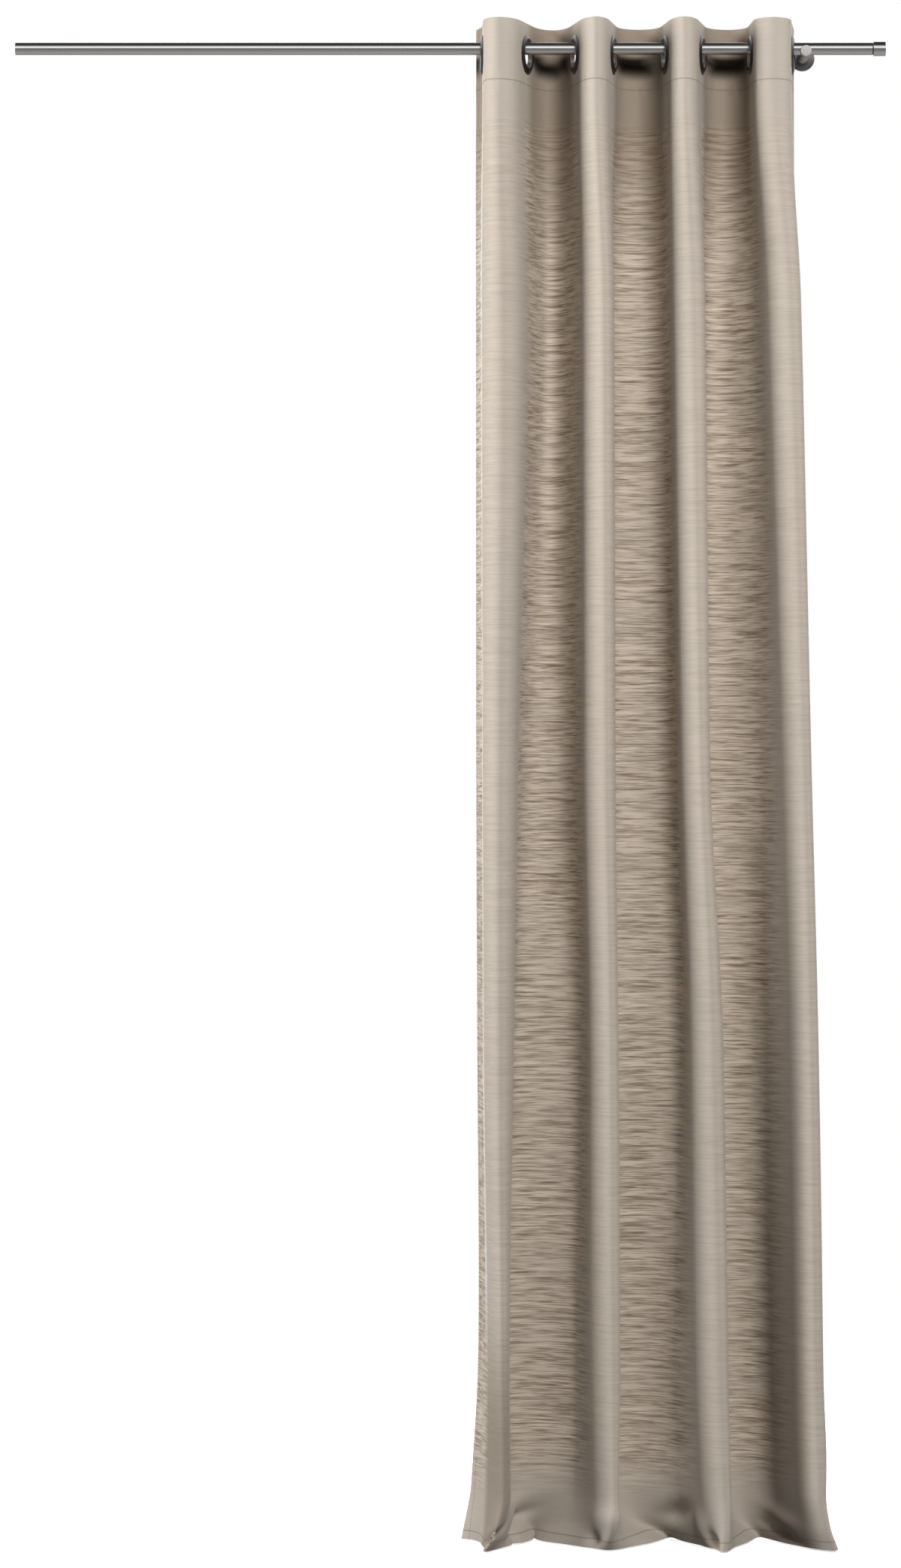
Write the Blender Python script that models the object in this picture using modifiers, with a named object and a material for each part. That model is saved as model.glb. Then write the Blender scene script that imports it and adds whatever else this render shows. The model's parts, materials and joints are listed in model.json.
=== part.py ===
"""Window curtain on a pole: one eyelet curtain panel gathered beside the wall bracket that holds the pole.

Metres, +Z up. The wall is the plane y = 0 and the room is towards -Y. The pole runs along X.
The origin is the centre of the bracket's fixing disc on the wall.
"""

from math import cos, pi, radians, sin

import bmesh
import bpy
from mathutils import Matrix, Vector

GAP = 0.0003  # clearance between pieces that touch
MERGE = 0.00005  # points nearer than this become one
ROUND_SIDES = 24
DISC_SIDES = 40
ARM_SIDES = 36
SCREW_SIDES = 16
SMOOTH_DEG = 35

# Pole
POLE_R = 0.010
POLE_WALL = 0.001
POLE_LEFT_X = -1.273
POLE_RIGHT_X = 0.1077
POLE_Y = -0.080  # axis, measured from the wall
POLE_Z = 0.005
POLE_SIDES = 32

# End cap and the plug that holds it
CAP_R = 0.0116
CAP_LENGTH = 0.0198
CAP_BEVEL = 0.0006
CAP_BORE_DEPTH = 0.012
PLUG_FLANGE_T = 0.0008
PLUG_FLANGE_R = 0.0096
PLUG_PIN_R = 0.004
PLUG_PIN_LENGTH = 0.011
PLUG_CORE_R = 0.0078
PLUG_LENGTH = 0.020
PLUG_RIBS = 3
RIB_WIDTH = 0.003

# Bracket
ARM_R = 0.009
ARM_FRONT_LIP = 0.0052  # metal in front of the pole's seat
DISC_R = 0.0175
DISC_T = 0.005
ROSETTE_R = 0.020
ROSETTE_DEPTH = 0.007
ROSETTE_WALL = 0.0012
STUD_R = 0.003
STUD_IN_DISC = 0.0035
STUD_IN_ARM = 0.014
CLAMP_SCREW_R = 0.002
WALL_SCREW_X = 0.0126
WALL_SCREW_R = 0.002
WALL_SCREW_HEAD_R = 0.0030
WALL_SCREW_HEAD_T = 0.0022
WALL_SCREW_LENGTH = 0.035
SCREW_RECESS_R = 0.0013
SCREW_RECESS_DEPTH = 0.0012
SCREW_POINT = 0.15  # share of a wall screw that tapers to its point

# Curtain
CLOTH_T = 0.0016
CLOTH_TOP_Z = 0.0455
CLOTH_DROP = 2.45
EYELET_PITCH = 0.172  # along the cloth
EDGE_LENGTH = 0.070  # cloth beyond the first and the last eyelet
FLAT_HALF = 0.033  # half-width of the cloth that an eyelet keeps flat
HEADING_DROP = 0.0985  # height of the stiffened heading band, from the cloth's top
APEX_GAP = 0.0006  # between two cloth panels where they meet
HALF_FOLD_STEPS = 5
TIER_NAMES = ("upper", "lower")  # lengths of cloth below the heading band
TIERS = len(TIER_NAMES)
LEVELS = 2  # rows of faces in each of them
CLOTH_SMOOTH_DEG = 60
CURVE_STEPS = 24  # for measuring a fold's length
HALVINGS = 40  # of the range in which its handle length is sought
TAIL_BEND = 0.6  # share of the cloth beyond an outer eyelet that runs straight on

# Where each eyelet sits along the pole, how far its cloth leans from square to the pole,
# and where the same line of cloth crosses the pole's plane at the hem.
EYELET_X = (-0.520, -0.449, -0.3715, -0.310, -0.226, -0.167, -0.088, -0.022)
EYELET_LEAN = (1.6, 17.9, 11.9, 10.9, 8.9, 11.5, 3.7, 6.0)
HEM_X = (-0.540, -0.455, -0.350, -0.285, -0.180, -0.105, -0.020, 0.036)
HEM_LEAN = 9.0
LEFT_EDGE_LEAN = -11.0  # the two back edges, at the heading and at the hem
RIGHT_EDGE_LEAN = 7.0

# Eyelets
EYELET_BORE_R = 0.020
EYELET_R = 0.0315
EYELET_FLANGE_T = 0.0017
BARREL_WALL = 0.0015
EYELET_LIP = 0.0006
EYELET_SIDES = 24
CLOTH_HOLE_R = EYELET_BORE_R + BARREL_WALL + 2 * GAP

STEEL = ("brushed_steel", (0.50, 0.49, 0.47), 0.32, 1.0)
DARK_STEEL = ("dark_steel", (0.24, 0.24, 0.24), 0.38, 1.0)
ZINC = ("zinc_steel", (0.55, 0.55, 0.54), 0.40, 1.0)
BLACK_NICKEL = ("black_nickel", (0.10, 0.10, 0.10), 0.22, 1.0)
NYLON = ("black_nylon", (0.03, 0.03, 0.03), 0.55, 0.0)
CLOTH = ("taupe_cloth", (0.44, 0.38, 0.32), 0.90, 0.0)


def clear_scene():
    for obj in list(bpy.data.objects):
        bpy.data.objects.remove(obj, do_unlink=True)


def new_collection(name):
    collection = bpy.data.collections.new(name)
    bpy.context.scene.collection.children.link(collection)
    return collection


def material(look):
    name, colour, roughness, metallic = look
    found = bpy.data.materials.get(name)
    if found:
        return found
    made = bpy.data.materials.new(name)
    made.use_nodes = True
    shader = made.node_tree.nodes["Principled BSDF"]
    shader.inputs["Base Color"].default_value = (*colour, 1.0)
    shader.inputs["Roughness"].default_value = roughness
    shader.inputs["Metallic"].default_value = metallic
    return made


def add_mesh(name, fill, look=None, smooth_deg=SMOOTH_DEG):
    """Make an object whose mesh the function fill builds in a bmesh. Without a look it is a cutter."""
    mesh = bpy.data.meshes.new(name)
    bm = bmesh.new()
    fill(bm)
    bmesh.ops.recalc_face_normals(bm, faces=bm.faces)
    bm.to_mesh(mesh)
    bm.free()
    obj = bpy.data.objects.new(name, mesh)
    if look is None:
        CUTTERS.objects.link(obj)
        obj.hide_render = True
        obj.display_type = "WIRE"
        return obj
    PARTS.objects.link(obj)
    mesh.materials.append(material(look))
    mesh.shade_smooth()
    mesh.set_sharp_from_angle(angle=radians(smooth_deg))
    return obj


def place(obj, location, axis=(0, 0, 1)):
    """Put an object at location, with its local Z along axis. On a level axis, local X points down."""
    local_z = Vector(axis).normalized()
    local_x = Vector((1, 0, 0)) if abs(local_z.z) > 0.5 else Vector((0, 0, -1))
    turn = Matrix((local_x, local_z.cross(local_x), local_z)).transposed().to_4x4()
    obj.matrix_world = Matrix.Translation(location) @ turn
    return obj


def cut(obj, cutter):
    boolean = obj.modifiers.new("cut_" + cutter.name, "BOOLEAN")
    boolean.operation = "DIFFERENCE"
    boolean.solver = "EXACT"
    boolean.object = cutter


def cylinder(radius, length, sides=ROUND_SIDES):
    """A filler for a cylinder that stands on the XY plane."""

    def fill(bm):
        bmesh.ops.create_cone(
            bm, cap_ends=True, segments=sides, radius1=radius, radius2=radius, depth=length,
            matrix=Matrix.Translation((0, 0, length / 2)),
        )

    return fill


def turned(name, profile, look, sides, closed=False):
    """A body turned about local Z. The profile is (radius, height) pairs down its outer side.

    An open profile starts and ends on the axis, and a closed one goes round a ring's section.
    """
    mesh = bpy.data.meshes.new(name)
    points = [(radius, 0.0, height) for radius, height in profile]
    edges = [(i, i + 1) for i in range(len(points) - 1)]
    if closed:
        edges.append((len(points) - 1, 0))
    mesh.from_pydata(points, edges, [])
    mesh.materials.append(material(look))
    obj = bpy.data.objects.new(name, mesh)
    PARTS.objects.link(obj)
    screw = obj.modifiers.new("turn", "SCREW")
    screw.axis = "Z"
    screw.steps = sides
    screw.render_steps = sides
    screw.use_merge_vertices = True
    screw.merge_threshold = MERGE
    screw.use_smooth_shade = True
    return obj


# ---- pole and end cap -------------------------------------------------------------------------


def build_pole():
    """The pole: a thin steel tube, open at its left end."""
    length = POLE_RIGHT_X - POLE_LEFT_X
    inner = POLE_R - POLE_WALL
    profile = [(inner, length), (POLE_R, length), (POLE_R, 0.0), (inner, 0.0)]
    pole = turned("pole_tube", profile, STEEL, POLE_SIDES, closed=True)
    place(pole, (POLE_LEFT_X, POLE_Y, POLE_Z), (1, 0, 0))


def build_end_cap():
    """A turned steel cap on a ribbed nylon plug that grips the bore of the pole."""
    flange_x = POLE_RIGHT_X + GAP
    cap_x = flange_x + PLUG_FLANGE_T + GAP
    rib_r = POLE_R - POLE_WALL - GAP
    pitch = PLUG_LENGTH / (PLUG_RIBS + 1)
    profile = [(0.0, PLUG_PIN_LENGTH), (PLUG_PIN_R, PLUG_PIN_LENGTH), (PLUG_PIN_R, PLUG_FLANGE_T)]
    profile += [(PLUG_FLANGE_R, PLUG_FLANGE_T), (PLUG_FLANGE_R, 0.0), (PLUG_CORE_R, 0.0)]
    for rib in range(1, PLUG_RIBS + 1):
        top = RIB_WIDTH / 2 - rib * pitch
        bottom = top - RIB_WIDTH
        profile += [(PLUG_CORE_R, top), (rib_r, top), (rib_r, bottom), (PLUG_CORE_R, bottom)]
    profile += [(PLUG_CORE_R, -PLUG_LENGTH), (0.0, -PLUG_LENGTH)]
    place(turned("cap_plug", profile, NYLON, ROUND_SIDES), (flange_x, POLE_Y, POLE_Z), (1, 0, 0))

    bore_r = PLUG_PIN_R + GAP
    profile = [(0.0, CAP_LENGTH), (CAP_R - CAP_BEVEL, CAP_LENGTH), (CAP_R, CAP_LENGTH - CAP_BEVEL)]
    profile += [(CAP_R, CAP_BEVEL), (CAP_R - CAP_BEVEL, 0.0), (bore_r, 0.0)]
    profile += [(bore_r, CAP_BORE_DEPTH), (0.0, CAP_BORE_DEPTH)]
    place(turned("end_cap", profile, STEEL, POLE_SIDES), (cap_x, POLE_Y, POLE_Z), (1, 0, 0))


# ---- bracket ----------------------------------------------------------------------------------


def build_fixing_disc():
    """The disc that is screwed to the wall, with a blind hole for the stud and two countersunk holes."""
    disc = add_mesh("fixing_disc", cylinder(DISC_R, DISC_T, DISC_SIDES), DARK_STEEL)
    place(disc, (0, 0, 0), (0, -1, 0))
    stud_hole = add_mesh("cut_disc_stud", cylinder(STUD_R + GAP, DISC_T))
    place(stud_hole, (0, -(DISC_T - STUD_IN_DISC), 0), (0, -1, 0))
    cut(disc, stud_hole)
    for side, name in ((-1, "left"), (1, "right")):
        hole = add_mesh("cut_disc_screw_" + name, screw_hole)
        place(hole, (side * WALL_SCREW_X, -DISC_T, 0), (0, 1, 0))
        cut(disc, hole)


def screw_hole(bm):
    """A countersunk hole, its mouth at z = 0 and the hole running along +Z."""
    head_r = WALL_SCREW_HEAD_R + GAP
    shank_r = WALL_SCREW_R + GAP
    rings = [(head_r, -DISC_T), (head_r, GAP), (shank_r, WALL_SCREW_HEAD_T + GAP), (shank_r, 2 * DISC_T)]
    loft_rings(bm, rings, ROUND_SIDES)


def loft_rings(bm, rings, sides):
    """Join round rings, given as (radius, height) pairs, into a closed body about local Z."""
    rows = []
    for radius, height in rings:
        circle = bmesh.ops.create_circle(
            bm, segments=sides, radius=radius, matrix=Matrix.Translation((0, 0, height))
        )
        rows.append(circle["verts"])
    for low, high in zip(rows, rows[1:]):
        for i in range(sides):
            j = (i + 1) % sides
            bm.faces.new((low[i], low[j], high[j], high[i]))
    bm.faces.new(rows[0])
    bm.faces.new(rows[-1])


def build_wall_screws():
    """Two countersunk wood screws that go through the disc into the wall."""
    recess = SCREW_RECESS_DEPTH
    shoulder = (1 - SCREW_POINT) * WALL_SCREW_LENGTH
    for side, name in ((-1, "left"), (1, "right")):
        profile = [(0.0, -recess), (SCREW_RECESS_R, -recess), (SCREW_RECESS_R, 0.0)]
        profile += [(WALL_SCREW_HEAD_R, 0.0), (WALL_SCREW_HEAD_R, -GAP)]
        profile += [(WALL_SCREW_R, -WALL_SCREW_HEAD_T), (WALL_SCREW_R, -shoulder)]
        profile += [(0.0, -WALL_SCREW_LENGTH)]
        screw = turned("wall_screw_" + name, profile, ZINC, SCREW_SIDES)
        place(screw, (side * WALL_SCREW_X, -DISC_T, 0), (0, -1, 0))


def build_rosette():
    """The round cover that hides the disc: a shallow cup with a hole for the arm."""
    inner = ROSETTE_R - ROSETTE_WALL
    hole = ARM_R + GAP
    floor = ROSETTE_DEPTH - ROSETTE_WALL
    bevel = ROSETTE_WALL / 2
    profile = [(hole, ROSETTE_DEPTH), (ROSETTE_R - bevel, ROSETTE_DEPTH)]
    profile += [(ROSETTE_R, ROSETTE_DEPTH - bevel), (ROSETTE_R, 0.0)]
    profile += [(inner, 0.0), (inner, floor), (hole, floor)]
    place(turned("rosette", profile, DARK_STEEL, DISC_SIDES, closed=True), (0, 0, 0), (0, -1, 0))


def build_arm():
    """The round arm, with an open-topped saddle across it for the pole."""
    back = DISC_T + GAP
    front = -POLE_Y + POLE_R + GAP + ARM_FRONT_LIP
    seat_r = POLE_R + GAP
    arm = add_mesh("bracket_arm", cylinder(ARM_R, front - back, ARM_SIDES), STEEL)
    place(arm, (0, -back, 0), (0, -1, 0))

    def seat(bm):
        bmesh.ops.create_cone(
            bm, cap_ends=True, segments=POLE_SIDES, radius1=seat_r, radius2=seat_r, depth=4 * ARM_R,
            matrix=Matrix.Rotation(pi / 2, 4, "Y"),
        )

    def mouth(bm):
        size = Matrix.Diagonal((4 * ARM_R, 2 * seat_r, 2 * ARM_R, 1.0))
        bmesh.ops.create_cube(bm, size=1.0, matrix=Matrix.Translation((0, 0, ARM_R)) @ size)

    for name, fill in (("cut_seat", seat), ("cut_mouth", mouth)):
        cutter = add_mesh(name, fill)
        place(cutter, (0, POLE_Y, POLE_Z))
        cut(arm, cutter)
    screw_hole_r = CLAMP_SCREW_R + GAP
    thread = add_mesh("cut_clamp_hole", cylinder(screw_hole_r, 2 * ARM_R, SCREW_SIDES))
    place(thread, (0, POLE_Y, -2 * ARM_R), (0, 0, 1))
    cut(arm, thread)
    stud_hole = add_mesh("cut_arm_stud", cylinder(STUD_R + GAP, back + STUD_IN_ARM))
    place(stud_hole, (0, 0, 0), (0, -1, 0))
    cut(arm, stud_hole)


def build_bracket_fasteners():
    """The stud that joins arm and disc, and the grub screw under the pole."""
    start = DISC_T - STUD_IN_DISC + GAP
    end = DISC_T + STUD_IN_ARM - GAP
    stud = add_mesh("arm_stud", cylinder(STUD_R, end - start, SCREW_SIDES), ZINC)
    place(stud, (0, -start, 0), (0, -1, 0))
    tip = POLE_Z - POLE_R - GAP
    recess = SCREW_RECESS_DEPTH
    profile = [(0.0, tip), (CLAMP_SCREW_R, tip), (CLAMP_SCREW_R, -ARM_R)]
    profile += [(SCREW_RECESS_R, -ARM_R), (SCREW_RECESS_R, -ARM_R + recess), (0.0, -ARM_R + recess)]
    place(turned("pole_clamp_screw", profile, ZINC, SCREW_SIDES), (0, POLE_Y, 0))


# ---- curtain ----------------------------------------------------------------------------------


def bezier(points, t):
    """A point on the cubic curve with these four control points."""
    a, b, c, d = points
    s = 1 - t
    return a * s**3 + b * (3 * s * s * t) + c * (3 * s * t * t) + d * t**3


def run_length(points):
    return sum((b - a).length for a, b in zip(points, points[1:]))


def heading(index, lean_deg):
    """The plan direction of the cloth at an eyelet: odd eyelets run to the room, even ones to the wall."""
    towards_wall = -1 if index % 2 == 0 else 1
    lean = radians(lean_deg)
    return Vector((sin(lean), towards_wall * cos(lean)))


def fold_between(start, start_way, end, end_way, steps):
    """Half a fold on each side of its apex. The handles are as long as the flat cloth needs."""
    wanted = EYELET_PITCH - 2 * FLAT_HALF
    short, long = 0.0, wanted
    for _ in range(HALVINGS):
        handle = (short + long) / 2
        control = (start, start + start_way * handle, end - end_way * handle, end)
        if run_length([bezier(control, i / CURVE_STEPS) for i in range(CURVE_STEPS + 1)]) < wanted:
            short = handle
        else:
            long = handle
    # the points crowd towards the apex, so that the panels meet square to each other
    first = [bezier(control, 0.5 * sin(pi / 2 * i / steps)) for i in range(steps + 1)]
    second = [bezier(control, 1 - 0.5 * sin(pi / 2 * i / steps)) for i in range(steps, -1, -1)]
    return first, second


def plan_at(share):
    """Plan points of the eight panels, at a share of the way from the heading (0) to the hem (1)."""
    count = len(EYELET_X)
    centres = []
    ways = []
    for i in range(count):
        x = EYELET_X[i] + (HEM_X[i] - EYELET_X[i]) * share
        lean = EYELET_LEAN[i] + (HEM_LEAN - EYELET_LEAN[i]) * share
        centres.append(Vector((x, POLE_Y)))
        ways.append(heading(i, lean))
    tail = EDGE_LENGTH - FLAT_HALF
    bend = TAIL_BEND * tail
    left_start = centres[0] - ways[0] * FLAT_HALF
    left_end = left_start - (ways[0] * bend + heading(0, -LEFT_EDGE_LEAN) * (tail - bend))
    right_start = centres[-1] + ways[-1] * FLAT_HALF
    right_end = right_start + ways[-1] * bend + heading(1, RIGHT_EDGE_LEAN) * (tail - bend)
    halves = [[left_end, left_start - ways[0] * bend, left_start]]
    for i in range(count - 1):
        start = centres[i] + ways[i] * FLAT_HALF
        end = centres[i + 1] - ways[i + 1] * FLAT_HALF
        halves += fold_between(start, ways[i], end, ways[i + 1], HALF_FOLD_STEPS)
    halves.append([right_start, right_start + ways[-1] * bend, right_end])
    panels = []
    for i in range(count):
        panel = halves[2 * i] + halves[2 * i + 1]
        for end, inner in ((0, 1), (-1, -2)):
            if (i, end) in ((0, 0), (count - 1, -1)):
                continue
            panel[end] = panel[end] + (panel[inner] - panel[end]).normalized() * (APEX_GAP / 2)
        panels.append(panel)
    return panels


def build_cloth():
    """Eight upright panels, each from one fold's apex to the next: a heading band with the cloth below."""
    heading_z = CLOTH_TOP_Z - HEADING_DROP
    hem_z = CLOTH_TOP_Z - CLOTH_DROP
    tier_height = (heading_z - hem_z) / TIERS
    for number in range(1, len(EYELET_X) + 1):
        heading_plan = plan_at(0.0)[number - 1]
        rows = [(CLOTH_TOP_Z, heading_plan), (heading_z, heading_plan)]
        band = cloth_piece(f"cloth_heading_{number}", rows)
        hole = add_mesh(f"cut_eyelet_{number}", cylinder(CLOTH_HOLE_R, 4 * CLOTH_T))
        centre, axis = eyelet_seat(number)
        place(hole, centre - axis * 2 * CLOTH_T, axis)
        cut(band, hole)
        for tier in range(TIERS):
            rows = []
            for level in range(LEVELS + 1):
                z = heading_z - tier_height * (tier + level / LEVELS)
                share = (heading_z - z) / (heading_z - hem_z)
                rows.append((z - (GAP if level == 0 else 0.0), plan_at(share)[number - 1]))
            cloth_piece(f"cloth_panel_{number}_{TIER_NAMES[tier]}", rows)


def cloth_piece(name, rows):
    """A piece of cloth through rows of plan points, given as (height, points) from the top down."""

    def fill(bm):
        grid = []
        for z, plan in rows:
            grid.append([bm.verts.new((p.x, p.y, z)) for p in plan])
        for upper, lower in zip(grid, grid[1:]):
            for i in range(len(upper) - 1):
                bm.faces.new((upper[i], lower[i], lower[i + 1], upper[i + 1]))

    cloth = add_mesh(name, fill, CLOTH, CLOTH_SMOOTH_DEG)
    solid = cloth.modifiers.new("thickness", "SOLIDIFY")
    solid.thickness = CLOTH_T
    solid.offset = 0.0
    solid.use_even_offset = True
    return cloth


def eyelet_seat(number):
    """The centre of an eyelet, which hangs on the pole, and its axis, square to the cloth."""
    x = EYELET_X[number - 1]
    z = POLE_Z + POLE_R + GAP - EYELET_BORE_R
    way = heading(number - 1, EYELET_LEAN[number - 1])
    face = Vector((way.y, -way.x, 0.0))
    return Vector((x, POLE_Y, z)), face


def build_eyelets():
    """Each eyelet is a front ring with a barrel through the cloth, and a back ring pressed onto it."""
    near = CLOTH_T / 2 + GAP
    far = near + EYELET_FLANGE_T
    barrel_r = EYELET_BORE_R + BARREL_WALL
    ring_r = barrel_r + GAP
    for number in range(1, len(EYELET_X) + 1):
        front = [(EYELET_BORE_R + EYELET_LIP, far), (EYELET_R - EYELET_LIP, far), (EYELET_R, near)]
        front += [(barrel_r, near), (barrel_r, -far), (EYELET_BORE_R, -far)]
        front += [(EYELET_BORE_R, far - EYELET_LIP)]
        back = [(ring_r, -near), (EYELET_R, -near), (EYELET_R - EYELET_LIP, -far), (ring_r, -far)]
        centre, axis = eyelet_seat(number)
        for name, profile in (("front", front), ("back", back)):
            ring = turned(f"eyelet_{number}_{name}", profile, BLACK_NICKEL, EYELET_SIDES, closed=True)
            place(ring, centre, axis)


clear_scene()
PARTS = new_collection("window_curtain_on_pole")
CUTTERS = new_collection("cutters")
build_pole()
build_end_cap()
build_fixing_disc()
build_wall_screws()
build_rosette()
build_arm()
build_bracket_fasteners()
build_cloth()
build_eyelets()
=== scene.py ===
"""Looks of a window curtain on a pole: cloth, eyelets, pole, end cap and wall bracket.

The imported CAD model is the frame, in metres: +X runs along the pole, +Y into the wall and +Z up.
"""

import json
import logging
import math
from dataclasses import dataclass, field
from enum import Enum
from typing import Any, Sequence

import bpy
import numpy as np
from mathutils import Matrix, Vector

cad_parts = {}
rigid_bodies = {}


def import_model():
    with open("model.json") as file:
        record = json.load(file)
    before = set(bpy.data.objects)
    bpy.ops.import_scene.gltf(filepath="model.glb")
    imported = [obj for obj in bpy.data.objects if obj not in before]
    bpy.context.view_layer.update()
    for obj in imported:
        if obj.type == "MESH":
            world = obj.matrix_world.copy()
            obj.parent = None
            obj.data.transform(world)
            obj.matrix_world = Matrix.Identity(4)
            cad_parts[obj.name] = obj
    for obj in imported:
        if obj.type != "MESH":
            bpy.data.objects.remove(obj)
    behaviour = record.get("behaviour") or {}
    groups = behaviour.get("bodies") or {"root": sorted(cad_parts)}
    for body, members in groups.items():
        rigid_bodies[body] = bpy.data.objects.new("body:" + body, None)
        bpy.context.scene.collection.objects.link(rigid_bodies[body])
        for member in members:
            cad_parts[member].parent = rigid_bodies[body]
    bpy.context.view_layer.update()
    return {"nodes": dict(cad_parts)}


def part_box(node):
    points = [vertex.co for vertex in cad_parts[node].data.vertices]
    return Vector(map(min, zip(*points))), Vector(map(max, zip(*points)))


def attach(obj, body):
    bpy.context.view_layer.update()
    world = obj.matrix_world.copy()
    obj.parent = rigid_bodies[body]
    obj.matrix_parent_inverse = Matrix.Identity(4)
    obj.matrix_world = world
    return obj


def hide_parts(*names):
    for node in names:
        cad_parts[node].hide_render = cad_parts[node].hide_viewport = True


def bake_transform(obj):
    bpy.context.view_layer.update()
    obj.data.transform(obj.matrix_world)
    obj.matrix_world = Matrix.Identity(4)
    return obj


LOG = logging.getLogger("curtain")
CLOTH_UV = "flat_cloth"
DEPTH_ATTRIBUTE = "fold_depth"
FRONT_ATTRIBUTE = "front_face"
RADIUS_ATTRIBUTE = "turned_radius"
TINY = 1e-9
LATHE_SHARP_DEG = 40.0
CLOTH_NODES = ("cloth_heading_{}", "cloth_panel_{}_upper", "cloth_panel_{}_lower")
Array = np.ndarray
Point = tuple[float, float]
Triple = tuple[float, float, float]


class Slot(Enum):
    """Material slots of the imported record."""

    STEEL = "brushed_steel"
    DARK_STEEL = "dark_steel"
    ZINC = "zinc_steel"
    NICKEL = "black_nickel"
    NYLON = "black_nylon"
    CLOTH = "taupe_cloth"


class Side(Enum):
    """The two faces of the cloth or of an eyelet."""

    FRONT = 1.0
    BACK = -1.0


# ---- shader graphs ----------------------------------------------------------------------------


class Value:
    """A number socket of a node tree that takes part in arithmetic."""

    def __init__(self, graph: "Tree", socket: bpy.types.NodeSocket) -> None:
        """Wrap one output socket of a graph."""
        self.graph = graph
        self.socket = socket

    def _maths(self, operation: str, *terms: Any) -> "Value":
        """Add a Math node.

        Args:
            operation: Blender's name of the operation.
            *terms: numbers or Values, in order.

        Returns:
            The node's output.
        """
        node = self.graph.node("ShaderNodeMath", {"operation": operation}, dict(enumerate(terms)))
        return Value(self.graph, node.outputs[0])

    def __add__(self, other: Any) -> "Value":
        """Sum."""
        return self._maths("ADD", self, other)

    __radd__ = __add__

    def __sub__(self, other: Any) -> "Value":
        """Difference."""
        return self._maths("SUBTRACT", self, other)

    def __rsub__(self, other: Any) -> "Value":
        """Reflected difference."""
        return self._maths("SUBTRACT", other, self)

    def __mul__(self, other: Any) -> "Value":
        """Product."""
        return self._maths("MULTIPLY", self, other)

    __rmul__ = __mul__

    def root(self) -> "Value":
        """Square root."""
        return self._maths("SQRT", self)

    def size(self) -> "Value":
        """Value without its sign."""
        return self._maths("ABSOLUTE", self)

    def ramp(self, low: float, high: float) -> "Value":
        """Smooth step from 0 at low to 1 at high.

        Args:
            low: value where the step starts.
            high: value where it ends. It may be below low.

        Returns:
            The step, between 0 and 1.
        """
        settings = {"interpolation_type": "SMOOTHSTEP"}
        node = self.graph.node("ShaderNodeMapRange", settings, {0: self, 1: low, 2: high, 3: 0.0, 4: 1.0})
        return Value(self.graph, node.outputs[0])


class Tree:
    """A node tree of any kind that nodes are added to."""

    def __init__(self, tree: bpy.types.NodeTree) -> None:
        """Wrap a node tree."""
        self.tree = tree

    def node(self, kind: str, settings: dict[str, Any], values: dict[Any, Any]) -> bpy.types.Node:
        """Add a node.

        Args:
            kind: the node's type.
            settings: attributes to set first.
            values: a number, colour, socket or Value for each input, by name or index.

        Returns:
            The new node.
        """
        made = self.tree.nodes.new(kind)
        for key, setting in settings.items():
            setattr(made, key, setting)
        for key, value in values.items():
            self.feed(made.inputs[key], value)
        return made

    def feed(self, socket: bpy.types.NodeSocket, value: Any) -> None:
        """Set a socket's value, or link a socket or Value to it."""
        if isinstance(value, Value):
            value = value.socket
        if isinstance(value, bpy.types.NodeSocket):
            self.tree.links.new(value, socket)
        else:
            socket.default_value = value


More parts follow.
